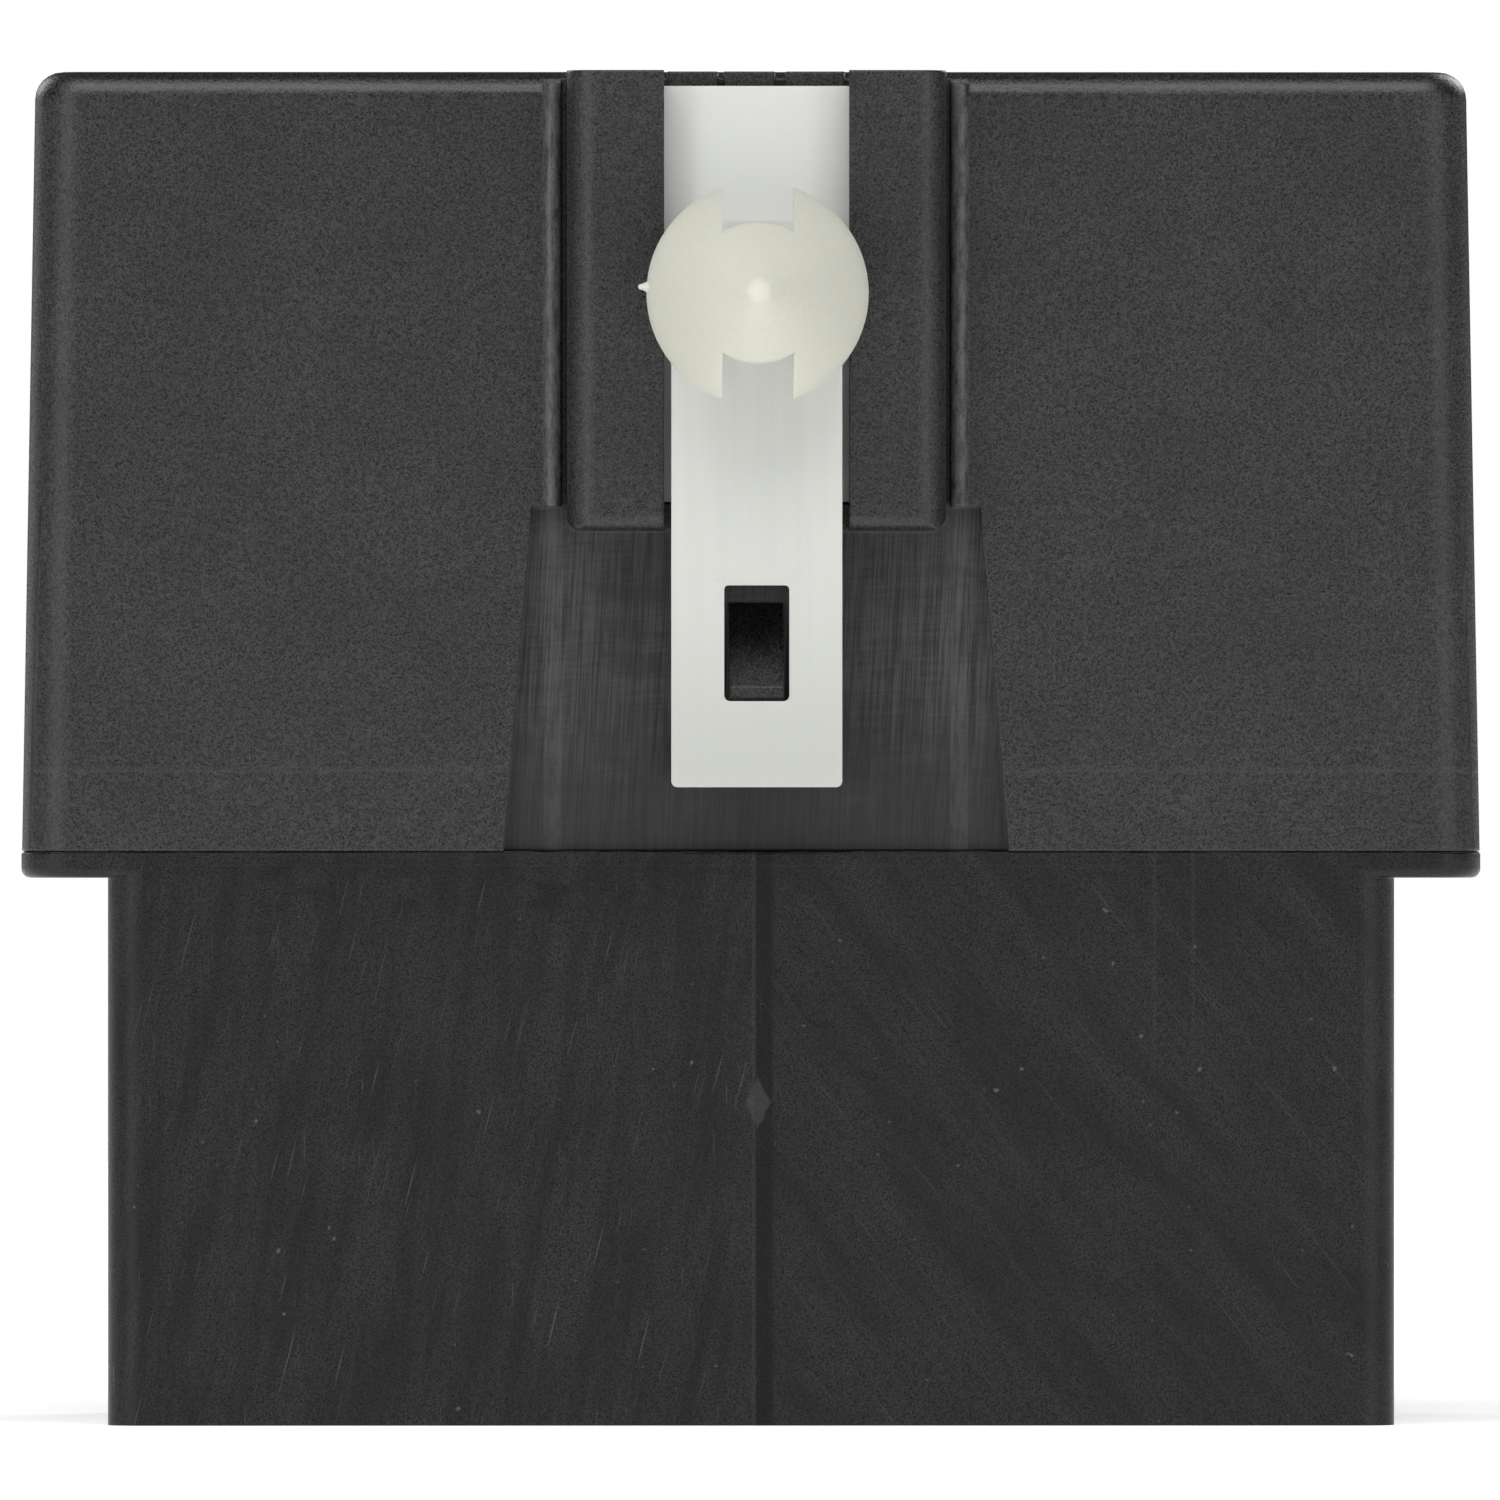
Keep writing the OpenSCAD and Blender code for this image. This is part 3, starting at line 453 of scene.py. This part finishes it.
def enamelled_wire():
    """Copper under clear reddish enamel, lighter and darker from one turn to the next."""
    s = Shader("enamelled_wire", Metallic=0.85)
    turn = s.streaks((0.25, 6.0, 6.0), 2.0, 0.6)
    clouds = s.noise(0.8, 3.0, 0.6)
    s.put("Base Color", s.mix(s.ramp(turn, 0.3, 0.7), (0.42, 0.12, 0.035), (0.62, 0.22, 0.075)))
    s.put("Roughness", s.ramp(clouds, 0.3, 0.7, 0.22, 0.36))
    s.put("Coat Weight", 0.5)
    s.put("Coat Roughness", 0.15)
    s.put("Normal", s.bump(clouds, 0.004))
    return s.material


def resistor_lacquer(bands, middle):
    """Beige lacquer with plain colour bands. bands are (place along X from the middle, colour)."""
    band_hw = 0.16
    s = Shader("resistor_lacquer")
    clouds = s.noise(0.5, 3.0, 0.5)
    colour = s.tint((0.62, 0.47, 0.28), clouds, 0.12)
    for place, band in bands:
        here = s.window(s.axis("X"), middle + place - band_hw, middle + place + band_hw, 0.03)
        colour = s.mix(here, colour, band)
    s.put("Base Color", colour)
    s.put("Roughness", s.ramp(clouds, 0.3, 0.7, 0.22, 0.34))
    s.put("Coat Weight", 0.4)
    s.put("Normal", s.bump(clouds, 0.01))
    return s.material


def floor_finish():
    """Plain white studio floor, which glows a little so that it stays white under soft light."""
    s = Shader("floor_finish")
    s.put("Base Color", s.tint((0.9, 0.9, 0.9), s.noise(60.0, 2.0, 0.5), 0.01))
    s.put("Roughness", 0.9)
    s.put("Specular IOR Level", 0.1)
    s.put("Emission Color", (1, 1, 1))
    s.put("Emission Strength", 0.5)
    return s.material


# ------------------------------------------------------------------ mesh building, in millimetres

def take_modifiers(piece):
    """Makes a piece's modifiers part of its mesh."""
    seen = piece.evaluated_get(bpy.context.evaluated_depsgraph_get())
    mesh = bpy.data.meshes.new_from_object(seen)
    piece.modifiers.clear()
    old = piece.data
    piece.data = mesh
    bpy.data.meshes.remove(old)


def combine(piece, tool, operation):
    """Joins tool to piece (UNION) or cuts it out (DIFFERENCE), and removes the tool."""
    step = piece.modifiers.new("combine", "BOOLEAN")
    step.operation = operation
    step.object = tool
    step.solver = "EXACT"
    take_modifiers(piece)
    bpy.data.objects.remove(tool)


def arc(centre, radius, start, end, steps=6):
    """Points on an arc, from start to end degrees."""
    angles = (math.radians(start + (end - start) * i / steps) for i in range(steps + 1))
    return [(centre[0] + radius * math.cos(a), centre[1] + radius * math.sin(a)) for a in angles]


def rounded(low, high, lower, upper):
    """A rectangle's outline with round lower and upper corners."""
    (x0, z0), (x1, z1) = low, high
    return (arc((x0 + lower, z0 + lower), lower, 180, 270) + arc((x1 - lower, z0 + lower), lower, 270, 360)
            + arc((x1 - upper, z1 - upper), upper, 0, 90) + arc((x0 + upper, z1 - upper), upper, 90, 180))


def standing(name, outline, front, back):
    """A plate with an X-Z outline, from y = front to y = back."""
    count = len(outline)
    points = [(x, front, z) for x, z in outline] + [(x, back, z) for x, z in outline]
    faces = [tuple(range(count)), tuple(range(2 * count - 1, count - 1, -1))]
    faces += [(i, i + count, (i + 1) % count + count, (i + 1) % count) for i in range(count)]
    return mesh_object(name, points, faces)


def turned(name, profile, place, steps=72):
    """A turned solid. profile is its (radius, reach) from axis to axis, and place maps (reach, across, up) to a
    point."""
    points, rings = [], []
    for radius, reach in profile:
        if radius < 1e-6:
            rings.append([len(points)] * steps)
            points.append(place(reach, 0.0, 0.0))
            continue
        rings.append([len(points) + i for i in range(steps)])
        for i in range(steps):
            angle = 2 * math.pi * i / steps
            points.append(place(reach, radius * math.cos(angle), radius * math.sin(angle)))
    faces = []
    for a, b in zip(rings, rings[1:]):
        for i in range(steps):
            j = (i + 1) % steps
            loop = []
            for corner in (a[i], a[j], b[j], b[i]):
                if corner not in loop:
                    loop.append(corner)
            if len(loop) > 2:
                faces.append(tuple(loop))
    piece = mesh_object(name, points, faces)
    square_up(piece)
    return piece


def square_up(piece):
    """Turns all faces outwards."""
    mesh = bmesh.new()
    mesh.from_mesh(piece.data)
    bmesh.ops.recalc_face_normals(mesh, faces=mesh.faces)
    mesh.to_mesh(piece.data)
    mesh.free()


def smooth(piece, angle):
    """Smooth shading, with edges sharper than angle degrees kept."""
    piece.data.shade_smooth()
    piece.data.set_sharp_from_angle(angle=math.radians(angle))


def curve_through(points, steps):
    """A smooth curve through the points, with steps pieces between each two."""
    ends = [points[0]] + list(points) + [points[-1]]
    made = []
    for a, b, c, d in zip(ends, ends[1:], ends[2:], ends[3:]):
        a, b, c, d = Vector(a), Vector(b), Vector(c), Vector(d)
        for i in range(steps):
            t = i / steps
            made.append(0.5 * (2 * b + (c - a) * t + (2 * a - 5 * b + 4 * c - d) * t * t
                               + (3 * b - a - 3 * c + d) * t ** 3))
    return made + [Vector(points[-1])]


def frames_along(points):
    """For each point: its place, direction, and two directions across that turn as little as they can."""
    across = None
    made = []
    for i, point in enumerate(points):
        ahead = (points[min(i + 1, len(points) - 1)] - points[max(i - 1, 0)]).normalized()
        if across is None:
            across = ahead.orthogonal().normalized()
        across = (across - ahead * across.dot(ahead)).normalized()
        made.append((point, ahead, across, ahead.cross(across)))
    return made


def tube_mesh(points, radius, sides, at=0):
    """Points and faces of a closed tube; at is the number of its first point."""
    made, faces = [], []
    for place, _, across, up in frames_along(points):
        made += [place + radius * (math.cos(2 * math.pi * k / sides) * across
                                   + math.sin(2 * math.pi * k / sides) * up) for k in range(sides)]
    for i in range(len(points) - 1):
        for k in range(sides):
            n = (k + 1) % sides
            here, ahead = at + i * sides, at + (i + 1) * sides
            faces.append((here + k, here + n, ahead + n, ahead + k))
    faces.append(tuple(at + k for k in range(sides - 1, -1, -1)))
    faces.append(tuple(at + (len(points) - 1) * sides + k for k in range(sides)))
    return made, faces


def tubes(name, routes, radius, sides):
    """One mesh object of round tubes along several routes."""
    points, faces = [], []
    for route in routes:
        more, skin = tube_mesh(route, radius, sides, len(points))
        points += more
        faces += skin
    piece = mesh_object(name, points, faces)
    square_up(piece)
    smooth(piece, 60)
    return piece


# ------------------------------------------------------------------ pieces made here

def add_clip(material):
    """The nylon clip in one moulding: slider, strap, tongue with its window, and the push-in pin."""
    strap_hw = (tongue_high.x - tongue_low.x) / 2
    slider_hw = 3.7
    face = tongue_low.y
    slider_front = clip_high.y - 1.1
    slider_end = RAIL_END + 0.95
    pin = clip_high.z - 6.85
    strap_top = pin + 2.4
    corner, tiny = 0.2, 0.12

    clip = standing("clip", rounded((-strap_hw, tongue_low.z), (strap_hw, strap_top), corner, 0.8),
                    face, tongue_high.y)
    within = strap_hw - 0.01
    block = standing("block", rounded((-within, slider_end), (within, strap_top - 0.01), tiny, 0.8),
                     face + 0.3, slider_front + 0.1)
    combine(clip, block, "UNION")
    slider = standing("slider", rounded((-slider_hw, slider_end), (slider_hw, clip_high.z), tiny, 0.3),
                      slider_front, clip_high.y)
    combine(clip, slider, "UNION")

    window_hw, window_high = 1.07, RAIL_END - 1.8
    window = standing("window", rounded((-window_hw, LATCH_LOW), (window_hw, window_high), 0.2, 0.14), face - 1,
                      tongue_high.y + 1)
    combine(clip, window, "DIFFERENCE")
    combine(clip, push_pin(face, pin), "UNION")
    clip.data.transform(Matrix.Translation((TRACK_X * MM, 0, 0)))
    edge = clip.modifiers.new("edge", "BEVEL")
    edge.width = 0.09 * MM
    edge.segments = 3
    edge.limit_method = "ANGLE"
    edge.angle_limit = math.radians(38)
    take_modifiers(clip)
    flex_from, flex_to = RAIL_END + 0.8, RAIL_END - 1.2
    slice_flat(clip, [flex_from + (flex_to - flex_from) * i / 8 for i in range(9)])
    smooth(clip, 38)
    clip.data.materials.clear()
    clip.data.materials.append(material)
    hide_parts("retainer_clip", "clip_tongue")
    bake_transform(clip)


def slice_flat(piece, heights):
    """Adds level cuts at the given heights across the piece's faces."""
    mesh = bmesh.new()
    mesh.from_mesh(piece.data)
    for height in heights:
        everything = mesh.verts[:] + mesh.edges[:] + mesh.faces[:]
        bmesh.ops.bisect_plane(mesh, geom=everything, plane_co=(0, 0, height * MM), plane_no=(0, 0, 1))
    mesh.to_mesh(piece.data)
    mesh.free()


def push_pin(face, height):
    """Arrowhead on a round neck, with slots above and below that let its two barbs spring inwards. It stands on the
    strap's face at a height, and has a nib of flash on its left."""
    neck, shoulder, tip = 2.3, 3.64, 0.6        # radii
    gap, reach = 2.0, 5.2                       # from the strap to the head, and the head's length
    rim, barb = 0.12, 0.62
    tip_angle = 32

    def place(out, across, up):
        return (across, face - out, height + up)

    cone_from = (shoulder, gap + 2 * rim)
    cone_to = (tip * math.cos(math.radians(tip_angle)),
               gap + reach - tip + tip * math.sin(math.radians(tip_angle)))
    cone = [(cone_from[0] + (cone_to[0] - cone_from[0]) * t + 0.13 * math.sin(math.pi * t),
             cone_from[1] + (cone_to[1] - cone_from[1]) * t + 0.1 * math.sin(math.pi * t))
            for t in (i / 14 for i in range(1, 14))]
    profile = ([(0.0, -0.3), (neck, -0.3), (neck, gap + 1.1), (shoulder - barb, gap + 0.4),
                (shoulder - barb, gap), (shoulder - rim, gap)]
               + arc((shoulder - rim, gap + rim), rim, -60, 25, 4) + cone
               + arc((0.0, gap + reach - tip), tip, tip_angle, 90, 7))
    profile[-1] = (0.0, profile[-1][1])
    head = turned("head", profile, place)
    notch_hw = 1.17
    for side in (1, -1):
        notch = standing("notch", [(-notch_hw, height), (notch_hw, height), (notch_hw, height + side * 5),
                                   (-notch_hw, height + side * 5)], face - gap - reach, face - 0.9)
        square_up(notch)
        stem = turned("stem", [(0.0, -1.0), (neck, -1.0), (neck, 12.0), (0.0, 12.0)], place)
        combine(notch, stem, "DIFFERENCE")
        combine(head, notch, "DIFFERENCE")

    def beside(out, across, up):
        return (-shoulder - out + 0.02, face - gap - rim + across, height + 0.2 + up)

    outline = [(0.0, -0.3), (0.22, -0.2), (0.18, 0.0), (0.11, 0.14), (0.08, 0.26), (0.0, 0.3)]
    nib = turned("nib", outline, beside, 16)
    combine(head, nib, "UNION")
    return head


def add_winding(material):
    """Side-by-side turns of enamelled wire, wound as one helix over the bobbin's barrel."""
    low, high = box_mm("coil_winding")
    centre_y, centre_z = (low.y + high.y) / 2, (low.z + high.z) / 2
    outer, inner = (high.z - low.z) / 2, 3.8
    wire, steps = 0.3, 72
    turns = int((high.x - low.x) / wire)
    pitch = (high.x - low.x) / turns
    lumps = 5
    profile = [(outer - 0.5 * wire * (1 - math.sin(math.pi * k / lumps)), (i + k / lumps) * pitch)
               for i in range(turns + 1) for k in range(lumps)]

    points, rings = [], []
    for radius, reach in profile:
        rings.append(len(points))
        for step in range(steps):
            angle = 2 * math.pi * step / steps
            along = min(max(reach - pitch * (1 - step / steps), 0.0), high.x - low.x)
            points.append((low.x + along, centre_y + radius * math.cos(angle),
                           centre_z + radius * math.sin(angle)))
    for end in (high.x, low.x):
        rings.append(len(points))
        points += [(end, centre_y + inner * math.cos(2 * math.pi * step / steps),
                    centre_z + inner * math.sin(2 * math.pi * step / steps)) for step in range(steps)]
    faces = []
    for a, b in zip(rings, rings[1:] + rings[:1]):
        faces += [(a + i, a + (i + 1) % steps, b + (i + 1) % steps, b + i) for i in range(steps)]
    winding = mesh_object("winding", points, faces)
    square_up(winding)
    smooth(winding, 80)
    winding.data.materials.append(material)
    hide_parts("coil_winding")
    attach(winding, "base")


def add_return_spring(material):
    """Close tension spring with a hook through the frame's anchor and one through the armature's tail."""
    low, high = box_mm("return_spring")
    centre_y, axis_z = (low.y + high.y) / 2, low.z + 1.075
    left, right = low.x + 0.17, high.x - 0.17
    radius, wire, turns, steps = 0.9, 0.175, 12, 20
    start, end = left + 2.35, right - 1.95

    def at(x, y, z):
        return Vector((x, centre_y + y, axis_z + z))

    coil = [at(start + (end - start) * i / (turns * steps), radius * math.sin(2 * math.pi * i / steps),
               radius * math.cos(2 * math.pi * i / steps)) for i in range(turns * steps + 1)]
    first = curve_through([at(left, 0, 0.75), at(left + 0.06, 0, 0.25), at(left + 0.4, 0, 0),
                           at(left + 1.15, 0, 0), at(start - 0.7, 0, 0.12),
                           at(start - 0.22, -0.05, radius - 0.2), coil[0]], 5)
    last = curve_through([coil[-1], at(end + 0.22, 0.05, radius - 0.2), at(end + 0.6, 0, 0.12),
                          at(end + 0.85, 0, 0), at(right - 0.4, 0, 0), at(right - 0.06, 0, 0.25),
                          at(right, 0, 0.75)], 5)
    spring = tubes("spring", [first[:-1] + coil + last[1:]], wire, 10)
    spring.data.materials.append(material)
    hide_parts("return_spring")
    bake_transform(spring)


# Middle of the braid from the contact spring over to the common terminal, as (x, z)
BRAID_ROUTE = [(4.05, 30.4), (4.7, 30.5), (5.6, 31.3), (6.6, 32.6), (7.9, 33.9), (9.5, 34.7), (11.0, 34.5),
               (12.3, 33.4), (13.2, 31.8), (13.85, 30.0), (14.25, 28.2), (14.42, 26.6), (14.45, 25.2)]


def add_braid(material):
    """Woven copper braid: two sets of strands that cross over and under round a soft core."""
    low, high = box_mm("contact_braid")
    centre_y = (low.y + high.y) / 2
    path = curve_through([(x, centre_y, z) for x, z in BRAID_ROUTE], 14)
    around = frames_along(path)
    strands, turns, middle, lift, wire = 9, 3.4, 0.62, 0.055, 0.085
    routes = []
    for way in (1, -1):
        for k in range(strands):
            route = []
            for i, (place, _, across, up) in enumerate(around):
                t = i / (len(around) - 1)
                angle = 2 * math.pi * (k / strands + way * turns * t)
                weave = way * math.cos(2 * strands * math.pi * turns * t + math.pi * k)
                reach = middle + lift * weave
                route.append(place + reach * (math.cos(angle) * across + math.sin(angle) * up))
            routes.append(route)
    braid = tubes("braid", routes, wire, 5)
    core = tubes("braid_core", [path[::4] + [path[-1]]], middle - lift, 12)
    for piece in (braid, core):
        piece.data.materials.append(material)
        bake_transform(piece)
    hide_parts("contact_braid")


def add_leads(wire, tinned):
    """The winding's ends, curving to the coil tags, and the resistor's straight leads."""
    lead_y = box_mm("coil_winding")[1].y + 0.1
    top = box_mm("coil_leads")[1].z - 0.1
    routes = []
    for terminal in ("coil_terminal_a", "coil_terminal_b"):
        tag_low, tag_high = box_mm(terminal)
        x, tag_y, tag_top = (tag_low.x + tag_high.x) / 2, tag_high.y - 0.8, tag_high.z
        routes.append(curve_through([(x + 1.5, lead_y - 0.25, top + 0.6), (x + 1.5, lead_y, top),
                                     (x + 1.5, lead_y + 0.9, top - 1.0), (x + 1.2, tag_y - 0.6, tag_top - 0.5),
                                     (x + 0.75, tag_y, tag_top - 0.9)], 8))
    leads = tubes("winding_ends", routes, 0.15, 8)
    leads.data.materials.append(wire)
    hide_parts("coil_leads")
    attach(leads, "base")

    low, high = box_mm("resistor_leads")
    y, z = (low.y + high.y) / 2, (low.z + high.z) / 2
    middle, body_half = (low.x + high.x) / 2, 2.2
    straight = [[Vector((a, y, z)), Vector((b, y, z))]
                for a, b in ((low.x, middle - body_half), (middle + body_half, high.x))]
    pins = tubes("resistor_wires", straight, 0.3, 16)
    pins.data.materials.append(tinned)
    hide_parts("resistor_leads")
    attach(pins, "base")


def add_resistor():
    """Bone-shaped resistor body with soft shoulders."""
    low, high = box_mm("suppression_resistor")
    middle, y, z = ((low[i] + high[i]) / 2 for i in range(3))
    waist, knob, reach = 0.93, 1.15, (high.x - low.x) / 2
    half = [(0.0, 0.0), (0.55, 0.0), (knob - 0.35, 0.1), (knob - 0.12, 0.3), (knob, 0.65), (knob, 0.95),
            (knob - 0.08, 1.2), (waist + 0.03, 1.45), (waist, 1.7)]
    profile = [(r, h - reach) for r, h in half] + [(r, reach - h) for r, h in reversed(half)]
    body = turned("resistor", profile, lambda out, across, up: (middle + out, y + across, z + up), 40)
    smooth(body, 60)
    brown, black, gold = (0.12, 0.03, 0.01), (0.01, 0.01, 0.01), (0.5, 0.3, 0.05)
    bands = [(-1.6, brown), (-0.6, black), (0.15, brown), (1.6, gold)]
    body.data.materials.append(resistor_lacquer(bands, middle))
    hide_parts("suppression_resistor")
    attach(body, "base")


# ------------------------------------------------------------------ CAD pieces

def finish_cad(node, material, edge, angle=30):
    """Gives a CAD node its material, and modifiers that join its facets, round its edges by edge mm and even out
    its shading. With edge 0 the rounding is left to the material."""
    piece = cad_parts[node]
    piece.data.materials.clear()
    piece.data.materials.append(material)
    piece.data.shade_smooth()
    weld = piece.modifiers.new("weld", "WELD")
    weld.merge_threshold = 0.002 * MM
    flat = piece.modifiers.new("flat", "DECIMATE")
    flat.decimate_type = "DISSOLVE"
    flat.angle_limit = math.radians(0.5)
    if edge:
        bevel = piece.modifiers.new("edge", "BEVEL")
        bevel.width = edge * MM
        bevel.segments = 3
        bevel.limit_method = "ANGLE"
        bevel.angle_limit = math.radians(angle)
        bevel.use_clamp_overlap = True
    split = piece.modifiers.new("split", "EDGE_SPLIT")
    split.split_angle = math.radians(angle + 1)
    split.use_edge_sharp = False
    normals = piece.modifiers.new("normals", "WEIGHTED_NORMAL")
    normals.weight = 100
    normals.keep_sharp = True


def add_seam_flash(material):
    """Thin uneven line of flash in the seam between cover and flange, a little inside their faces."""
    hx, hy = base_high.x, (base_high.y - base_low.y) / 2
    radius, inset = 1.6, 0.12
    outline = []
    for sx, sy, start in ((1, 1, 0), (-1, 1, 90), (-1, -1, 180), (1, -1, 270)):
        outline += arc((sx * (hx - radius), sy * (hy - radius)), radius - inset, start, start + 90, 8)
    line = []
    for (x0, y0), (x1, y1) in zip(outline, outline[1:] + outline[:1]):
        pieces = max(1, round(math.hypot(x1 - x0, y1 - y0) / 0.4))
        line += [(x0 + (x1 - x0) * i / pieces, y0 + (y1 - y0) * i / pieces) for i in range(pieces)]
    gap, points = SEAM - 0.08, []
    for i, (x, y) in enumerate(line):
        (xa, ya), (xb, yb) = line[i - 1], line[(i + 1) % len(line)]
        along = Vector((xb - xa, yb - ya)).normalized()
        out = 0.035 + 0.05 * random.random() ** 2
        inner = Vector((x, y)) - 0.5 * Vector((along.y, -along.x))
        outer = Vector((x, y)) + out * Vector((along.y, -along.x))
        low, high = gap - 0.01, gap + 0.045 + 0.03 * random.random()
        points += [(inner.x, inner.y + CASE_Y, low), (outer.x, outer.y + CASE_Y, low),
                   (outer.x, outer.y + CASE_Y, high), (inner.x, inner.y + CASE_Y, high)]
    count = len(line)
    faces = []
    for i in range(count):
        here, ahead = 4 * i, 4 * ((i + 1) % count)
        faces += [(here + k, ahead + k, ahead + (k + 1) % 4, here + (k + 1) % 4) for k in range(4)]
    flash = mesh_object("seam_flash", points, faces)
    square_up(flash)
    flash.data.materials.append(material)
    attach(flash, "base")


def finish_cad_pieces():
    """Finishes every CAD node that stays visible, and gives back the tinned metal for the resistor's leads."""
    iron = metal("zinc_plated_iron", (0.42, 0.425, 0.42), 0.4, (0.09, 0.09, 4.0), 0.25)
    tinned = metal("tinned_brass", (0.74, 0.7, 0.6), 0.3)
    bronze = metal("spring_bronze", (0.72, 0.46, 0.24), 0.3)
    silver = metal("silver_alloy", (0.83, 0.82, 0.8), 0.32, (0.3, 0.3, 0.3))
    solder = metal("solder", (0.68, 0.69, 0.71), 0.24, (0.5, 0.5, 0.5))
    base_material = base_plastic()
    finish_cad("cover", cover_plastic(), 0)
    finish_cad("base_housing", base_material, 0)
    add_seam_flash(base_material)
    finish_cad("bobbin", bobbin_plastic(), 0.15)
    for node in ("core", "yoke", "armature"):
        finish_cad(node, iron, 0.15)
    finish_cad("contact_spring", bronze, 0.04)
    finish_cad("armature_rivets", tinned, 0.12)
    for node in ("moving_contact", "no_contact", "nc_contact"):
        finish_cad(node, silver, 0.12)
    for node in ("no_terminal", "nc_terminal", "common_terminal", "coil_terminal_a", "coil_terminal_b"):
        finish_cad(node, tinned, 0.06)
    finish_cad("solder_joints", solder, 0.08)
    return tinned


add_camera()
add_lights()
add_world()
add_floor(floor_finish())
tinned_metal = finish_cad_pieces()
wire_material = enamelled_wire()
add_clip(nylon())
add_winding(wire_material)
add_return_spring(metal("spring_steel", (0.55, 0.55, 0.57), 0.25, (0.4, 0.4, 0.4)))
add_braid(metal("braid_copper", (0.72, 0.36, 0.2), 0.32, (0.3, 0.3, 0.3)))
add_leads(wire_material, tinned_metal)
add_resistor()
scene.view_settings.view_transform = "Standard"
